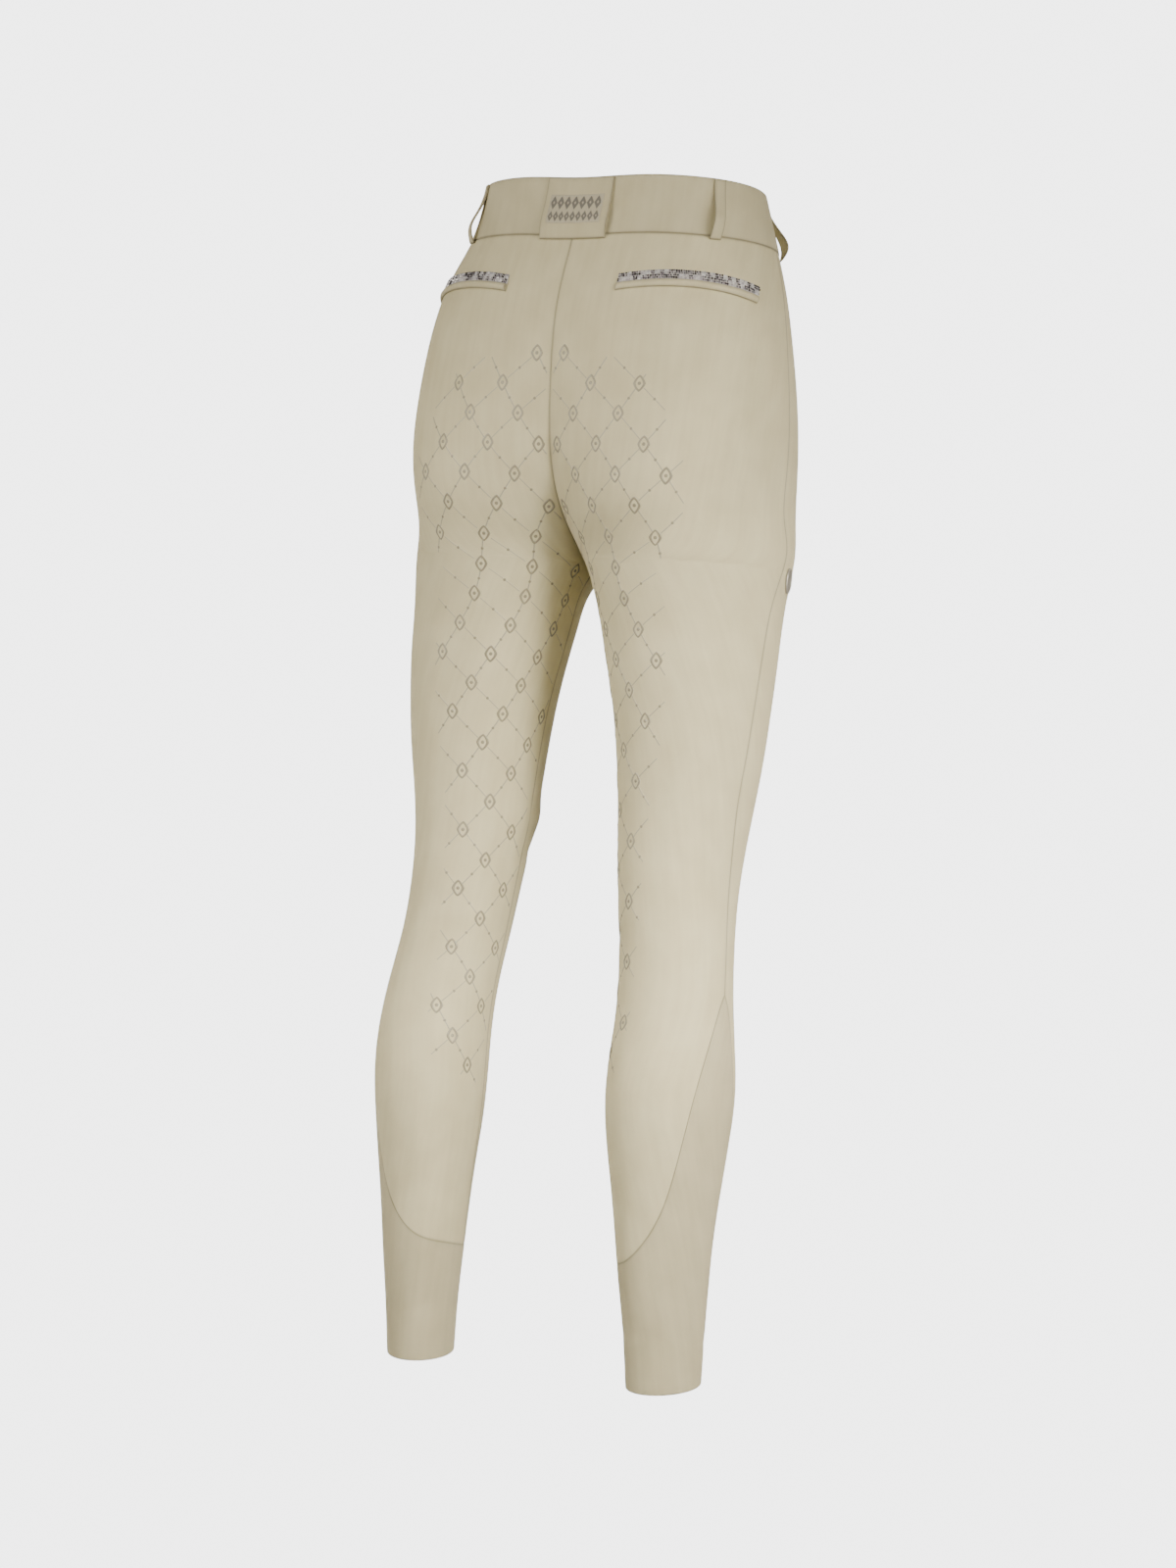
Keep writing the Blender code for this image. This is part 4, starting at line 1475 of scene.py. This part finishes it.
def seam_shadow(tree, reach):
    """1 at a seam, falling off with the distance from it."""
    room = node(tree, "Attribute", attribute_name="room", attribute_type="GEOMETRY").outputs[2]
    return maths(tree, "EXPONENT", maths(tree, "MULTIPLY", room, -1.0 / reach))


# The weave's noises in cells a metre, round and up, with how much of each the tone takes; the
# tone's range; the painted shade line at a seam or edge and the puckers beside it
STREAKS = (190.0, 11.0)
MOTTLING = (34.0, 26.0)
MOTTLING_SHARE = 0.7
GRAIN = (1500.0, 1100.0)
GRAIN_SHARE = 0.30
GRAIN_HEIGHT = 0.8
TONE_RANGE = (0.45, 1.10)
SEAM_LINE = 0.0008
SEAM_SHADE_COLOUR = "5E5748"
PUCKERS = (60.0, 260.0)
PUCKER_REACH = 0.005
PUCKER_HEIGHT = 6.0


def weave(name, face, dark, rib, rib_depth, streak, seam_dark):
    """A fine stretch weave.

    Up-and-down ribs a little under a millimetre wide, slow streaks along them and a soft
    mottling, as dense knit-backed cloth shows; painted shade darkens it right at the seams and
    edges, where it turns in, and it puckers there.
    """
    made, tree, shader = finish(
        name,
        Roughness=0.82,
        Sheen_Weight=0.16,
        Sheen_Roughness=0.45,
        Sheen_Tint=shade("FFF8E8"),
        Specular_IOR_Level=0.25,
    )
    mottling = maths(tree, "MULTIPLY", cloth_noise(tree, MOTTLING, 3.0), MOTTLING_SHARE)
    grain = cloth_noise(tree, GRAIN)
    tone = maths(tree, "MULTIPLY_ADD", cloth_noise(tree, STREAKS, 4.0), streak, mottling)
    tone = ranged(tree, maths(tree, "MULTIPLY_ADD", grain, GRAIN_SHARE, tone), *TONE_RANGE)
    # Painted shade: within about a millimetre of every seam and edge, where the cloth turns in, the
    # colour goes towards a dark brown
    seam = maths(tree, "MULTIPLY", seam_shadow(tree, SEAM_LINE), seam_dark)
    colour = mixed(tree, tone, shade(dark), shade(face))
    coloured(tree, shader, mixed(tree, seam, colour, shade(SEAM_SHADE_COLOUR)))
    place = {"Vector": cloth_coordinates(tree, (rib, 0.0)), "Scale": 1.0}
    ribs = node(tree, "TexWave", place, bands_direction="X").outputs[0]
    puckering = maths(tree, "MULTIPLY", seam_shadow(tree, PUCKER_REACH), PUCKER_HEIGHT)
    pucker = maths(tree, "MULTIPLY", cloth_noise(tree, PUCKERS), puckering)
    height = maths(tree, "ADD", ribs, maths(tree, "MULTIPLY", grain, GRAIN_HEIGHT))
    bumped(tree, shader, rib_depth, maths(tree, "ADD", height, pucker))
    return made


# The label's rows of lozenges: how far above its middle, how far apart and how tall. Each pitch
# is a whole part of the shift, so that a row's pattern is even about the label's middle.
LABEL_SHIFT = 0.5
LABEL_COLUMNS = "above pitch tall".split()
LABEL_ROWS = [
    (0.0055, LABEL_SHIFT / 73, 0.0134),
    (-0.0070, LABEL_SHIFT / 94, 0.0104),
]
LOZENGE_EDGE = (1.06, 0.88)
LOZENGE_MIDDLE = (0.16, 0.30)
LABEL_REACH = (0.0243, 0.0240)
LABEL_THREADS = (2400.0, 700.0)


def label_lozenges(tree, along, up, above, pitch, tall):
    """1 on a row's open lozenges and 0 elsewhere, by the sum of the shares of the way to a
    lozenge's side and to its top."""
    cell = maths(tree, "PINGPONG", maths(tree, "ADD", along, LABEL_SHIFT), pitch / 2)
    middle = (LABEL_ENDS[0] + LABEL_ENDS[1]) / 2 + above
    height = maths(tree, "ABSOLUTE", maths(tree, "SUBTRACT", up, middle))
    height = maths(tree, "DIVIDE", height, tall / 2)
    shape = maths(tree, "ADD", maths(tree, "DIVIDE", cell, pitch / 2), height)
    solid, open_middle = (ranged(tree, shape, *ends) for ends in (LOZENGE_EDGE, LOZENGE_MIDDLE))
    return maths(tree, "MULTIPLY", solid, open_middle)


def label_weave():
    """Satin label tape: fine close threads, with two rows of lozenges a shade darker."""
    made, tree, shader = finish(
        "label_weave", Roughness=0.55, Sheen_Weight=0.3, Specular_IOR_Level=0.35
    )
    axes = node(tree, "SeparateXYZ", {0: node(tree, "UVMap", uv_map="cloth_map").outputs[0]})
    along, up = axes.outputs[0], axes.outputs[1]
    rows = [label_lozenges(tree, along, up, **row) for row in named(LABEL_COLUMNS, LABEL_ROWS)]
    inside = ranged(tree, maths(tree, "ABSOLUTE", along), *LABEL_REACH)
    pattern = maths(tree, "MULTIPLY", maths(tree, "MAXIMUM", *rows), inside)
    grain = cloth_noise(tree, LABEL_THREADS)
    ground = mixed(tree, grain, shade("A9A28C"), shade("BCB5A0"))
    share = maths(tree, "MULTIPLY", pattern, 0.9)
    coloured(tree, shader, mixed(tree, share, ground, shade("62605E")))
    bumped(tree, shader, 0.00012, maths(tree, "ADD", grain, maths(tree, "MULTIPLY", pattern, 1.6)))
    return made


def stone_glass():
    """Foil-backed cut glass: dark, silver and lilac stones by their shade, all glittering."""
    made, tree, shader = finish(
        "stones", Roughness=0.16, Metallic=0.35, Coat_Weight=0.6, Coat_Roughness=0.05
    )
    stone = node(tree, "Attribute", attribute_name="shade", attribute_type="GEOMETRY")
    ramp = node(tree, "ValToRGB", {0: stone.outputs[2]})
    stops = ramp.color_ramp.elements
    stops[0].position, stops[0].color = 0.0, shade("2C2A30")
    stops[1].position, stops[1].color = 1.0, shade("FBFAFB")
    for position, colour in ((0.2, "5C5A62"), (0.5, "A5A3AC"), (0.7, "CDCBD1")):
        stop = stops.new(position)
        stop.color = shade(colour)
    coloured(tree, shader, ramp.outputs[0])
    return made


def stones_net():
    """The stones' backing strip: grey mesh with resin between the stones."""
    made, tree, shader = finish("stones_net", Roughness=0.5)
    grain = cloth_noise(tree, (900.0, 900.0))
    coloured(tree, shader, mixed(tree, grain, shade("8E8A8C"), shade("C9C5C2")))
    return made


def grip_silicone(name, dark, light):
    """Printed silicone: smooth, a shade darker than the cloth, and glossy in the light."""
    made, tree, shader = finish(name, Roughness=0.30, Coat_Weight=0.5, Coat_Roughness=0.15)
    cloudy = object_noise(tree, 60.0, 2.0)
    coloured(tree, shader, mixed(tree, cloudy, shade(dark), shade(light)))
    return made


def badge_metal():
    """Silver plated metal: a soft mirror, faintly brushed."""
    made, tree, shader = finish("badge_metal", Roughness=0.40, Metallic=0.65)
    place = node(tree, "TexCoord").outputs["Object"]
    brushed = node(tree, "Mapping", {0: place, 3: (4000.0, 4000.0, 300.0)}).outputs[0]
    lines = noise(tree, brushed, 1.0, 2.0)
    rough = ranged(tree, lines, 0.0, 1.0, to=(0.34, 0.48))
    tree.links.new(rough, shader.inputs["Roughness"])
    coloured(tree, shader, mixed(tree, lines, shade("A8A49B"), shade("C4C0B7")))
    return made


def button_resin():
    """Beige resin with a cloudy grain and a soft polish."""
    made, tree, shader = finish("button_resin", Roughness=0.32, Coat_Weight=0.25)
    cloudy = object_noise(tree, 420.0, 3.0)
    coloured(tree, shader, mixed(tree, cloudy, shade("A9A497"), shade("C6C3B9")))
    return made


def sewing_thread():
    """Polyester thread with a slight lustre, a little darker than the cloth."""
    made, tree, shader = finish("sewing_thread", Roughness=0.55, Sheen_Weight=0.2)
    twist = object_noise(tree, 2600.0, 1.0)
    coloured(tree, shader, mixed(tree, twist, shade("9E9A8E"), shade("BBB8AD")))
    return made


# The cloths: face and darker tone, ribs a metre with their depth, and how much streaks and
# the painted seam shade show
WEAVE_COLUMNS = "name face dark rib rib_depth streak seam_dark".split()
WEAVES = [
    ("stretch_cloth", "DFD8B5", "C9C09C", 1150.0, 0.00008, 0.42, 0.50),
    ("elastic_cloth", "CFC7A7", "B8B090", 900.0, 0.00012, 0.46, 0.48),
    ("band_cloth", "D5CEAE", "C0B897", 1150.0, 0.00008, 0.36, 0.60),
]
FINISHES = {
    **{row["name"]: weave(**row) for row in named(WEAVE_COLUMNS, WEAVES)},
    "label_weave": label_weave(),
    "stones": stone_glass(),
    "stones_net": stones_net(),
    "grip_silicone": grip_silicone("grip_silicone", "857F6B", "99947F"),
    "grip_line": grip_silicone("grip_line", "A29C87", "B0AA94"),
    "badge_metal": badge_metal(),
    "button_resin": button_resin(),
    "sewing_thread": sewing_thread(),
}


def dress(piece, slot_name, node_name, look=None):
    """A piece in its finish, in place of its solid."""
    piece.data.materials.append(FINISHES[look or slot_name])
    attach(piece, "root")
    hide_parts(node_name)


def trim(piece, look):
    """A piece without a solid of its own, in its finish."""
    piece.data.materials.append(FINISHES[look])
    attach(piece, "root")


# Stage


AXIS_HEIGHT = -0.507
CAMERA_AZIMUTH = 28.0
CAMERA_DISTANCE = 3.2
CAMERA_ROLL = 3.5
PICTURE = (1200, 1600)
PIXELS_A_METRE = 1190.0
PICTURE_OFFSET = (2.1, -2.3)
SENSOR = 36.0
FLOOR_HEIGHT = -1.32
DISH_RINGS = (0.001, 1.5, 3.0)
DISH_FLAT = 4.6
DISH_BEND = 2.2
DISH_WALL = 5.5
PAPER_GLOW = 4.35


def round_about(azimuth, distance, height):
    """A place at an azimuth from the middle of the back, towards the wearer's right."""
    turn = math.radians(azimuth)
    return Vector((-math.sin(turn) * distance, math.cos(turn) * distance, height))


def camera():
    """The camera: level, 28 degrees round from the back, and rolled a little."""
    lens = bpy.data.cameras.new("camera")
    lens.sensor_width = SENSOR
    lens.lens = PIXELS_A_METRE * CAMERA_DISTANCE / PICTURE[1] * SENSOR
    lens.shift_x = -PICTURE_OFFSET[0] / PICTURE[1]
    lens.shift_y = PICTURE_OFFSET[1] / PICTURE[1]
    made = bpy.data.objects.new("camera", lens)
    facing = Euler((math.pi / 2, 0.0, math.pi + math.radians(CAMERA_AZIMUTH)))
    roll = Matrix.Rotation(math.radians(CAMERA_ROLL), 3, "Z")
    made.rotation_euler = (facing.to_matrix() @ roll).to_euler()
    made.location = round_about(CAMERA_AZIMUTH, CAMERA_DISTANCE, AXIS_HEIGHT)
    bpy.context.scene.collection.objects.link(made)
    bpy.context.scene.camera = made


def studio_dish():
    """A wide pale floor that turns up into a wall all round: a turned profile of a flat, a
    quarter circle and a straight wall."""
    bend = np.linspace(0.0, math.pi / 2, 25)
    bent = DISH_FLAT + DISH_BEND * np.sin(bend)
    radius = np.concatenate([DISH_RINGS, bent, [DISH_FLAT + DISH_BEND]])
    rise = np.concatenate([[0, 0, 0], DISH_BEND * (1 - np.cos(bend)), [DISH_WALL]])
    turn = full_turn(96)
    x = radius[:, None] * np.cos(turn)
    y = radius[:, None] * np.sin(turn)
    z = np.broadcast_to((FLOOR_HEIGHT + rise)[:, None], x.shape)
    points = np.stack([x, y, z], axis=-1).reshape(-1, 3)
    floor = put_mesh("studio_dish", points, quads_of(wrapped(index_grid(*x.shape))))
    paper = finish(
        "studio_paper",
        Base_Color=shade("000000"),
        Roughness=0.9,
        Specular_IOR_Level=0.0,
        Emission_Color=shade("FFFFFF"),
        Emission_Strength=PAPER_GLOW,
    )[0]
    floor.data.materials.append(paper)
    floor.visible_diffuse = False
    floor.visible_glossy = False


# The lights' warm colour, linear, and how strong the white surround is
WARM_LIGHT = (1.0, 0.93, 0.80)
SURROUND = 0.02
# One light a row: azimuth from the back, height, distance, size across and up, the height it is
# aimed at, its beam's spread in degrees and its power
LIGHT_COLUMNS = "name azimuth height distance across up aim spread power".split()
LIGHTS = [
    ("right", 80.0, -0.20, 2.2, 1.0, 1.0, -0.50, 180.0, 22.5),
    ("far_right", 100.0, -0.60, 2.2, 1.0, 1.0, -0.60, 180.0, 6.0),
    ("left", -22.0, -0.10, 2.2, 1.0, 1.0, -0.60, 180.0, 37.0),
    ("far_left", -80.0, -0.60, 2.2, 1.0, 1.0, -0.60, 180.0, 15.0),
    ("near", 50.0, -0.10, 2.2, 1.0, 1.0, -0.60, 180.0, 12.0),
    ("calf_right", 64.0, 0.10, 2.0, 0.5, 0.5, -0.84, 45.0, 5.4),
    ("calf_left", -34.0, 0.10, 2.0, 0.5, 0.5, -0.92, 45.0, 1.3),
    ("top", 28.0, 0.70, 2.2, 1.4, 1.0, -0.40, 180.0, 9.0),
    ("front", -158.0, -0.35, 2.6, 2.0, 2.0, -0.50, 180.0, 85.0),
]


def lights():
    """Large soft lights, all turned to the breeches, in a faint even surround."""
    for row in named(LIGHT_COLUMNS, LIGHTS):
        lamp = bpy.data.lights.new(row["name"], "AREA")
        lamp.shape = "RECTANGLE"
        lamp.size, lamp.size_y, lamp.energy = row["across"], row["up"], row["power"]
        lamp.spread = math.radians(row["spread"])
        lamp.color = WARM_LIGHT
        made = bpy.data.objects.new(row["name"], lamp)
        made.location = round_about(row["azimuth"], row["distance"], row["height"])
        aim = Vector((0, 0, row["aim"])) - made.location
        made.rotation_euler = aim.to_track_quat("-Z", "Y").to_euler()
        made.visible_camera = False
        bpy.context.scene.collection.objects.link(made)
    world = bpy.data.worlds.new("studio")
    world.use_nodes = True
    sky = world.node_tree.nodes["Background"]
    sky.inputs["Color"].default_value = shade("FFFFFF")
    sky.inputs["Strength"].default_value = SURROUND
    bpy.context.scene.world = world


# The whole


def build():
    """Every piece, the stage, the lights and the camera."""
    camera()
    for side in ("left", "right"):
        back, front = crowded(BACK_COLUMNS), crowded(FRONT_COLUMNS)
        leg_panel("back", side, back, back_angle)
        leg_panel("front", side, front, front_angle)
        leg_insert(side)
        pocket_welt(side)
        pocket_stones(side)
        grip_print(side)
    waistband()
    belt_loops()
    back_tab()
    back_label()
    label_stitches()
    fly_stitches()
    thigh_badge()
    front_button()
    studio_dish()
    lights()


build()
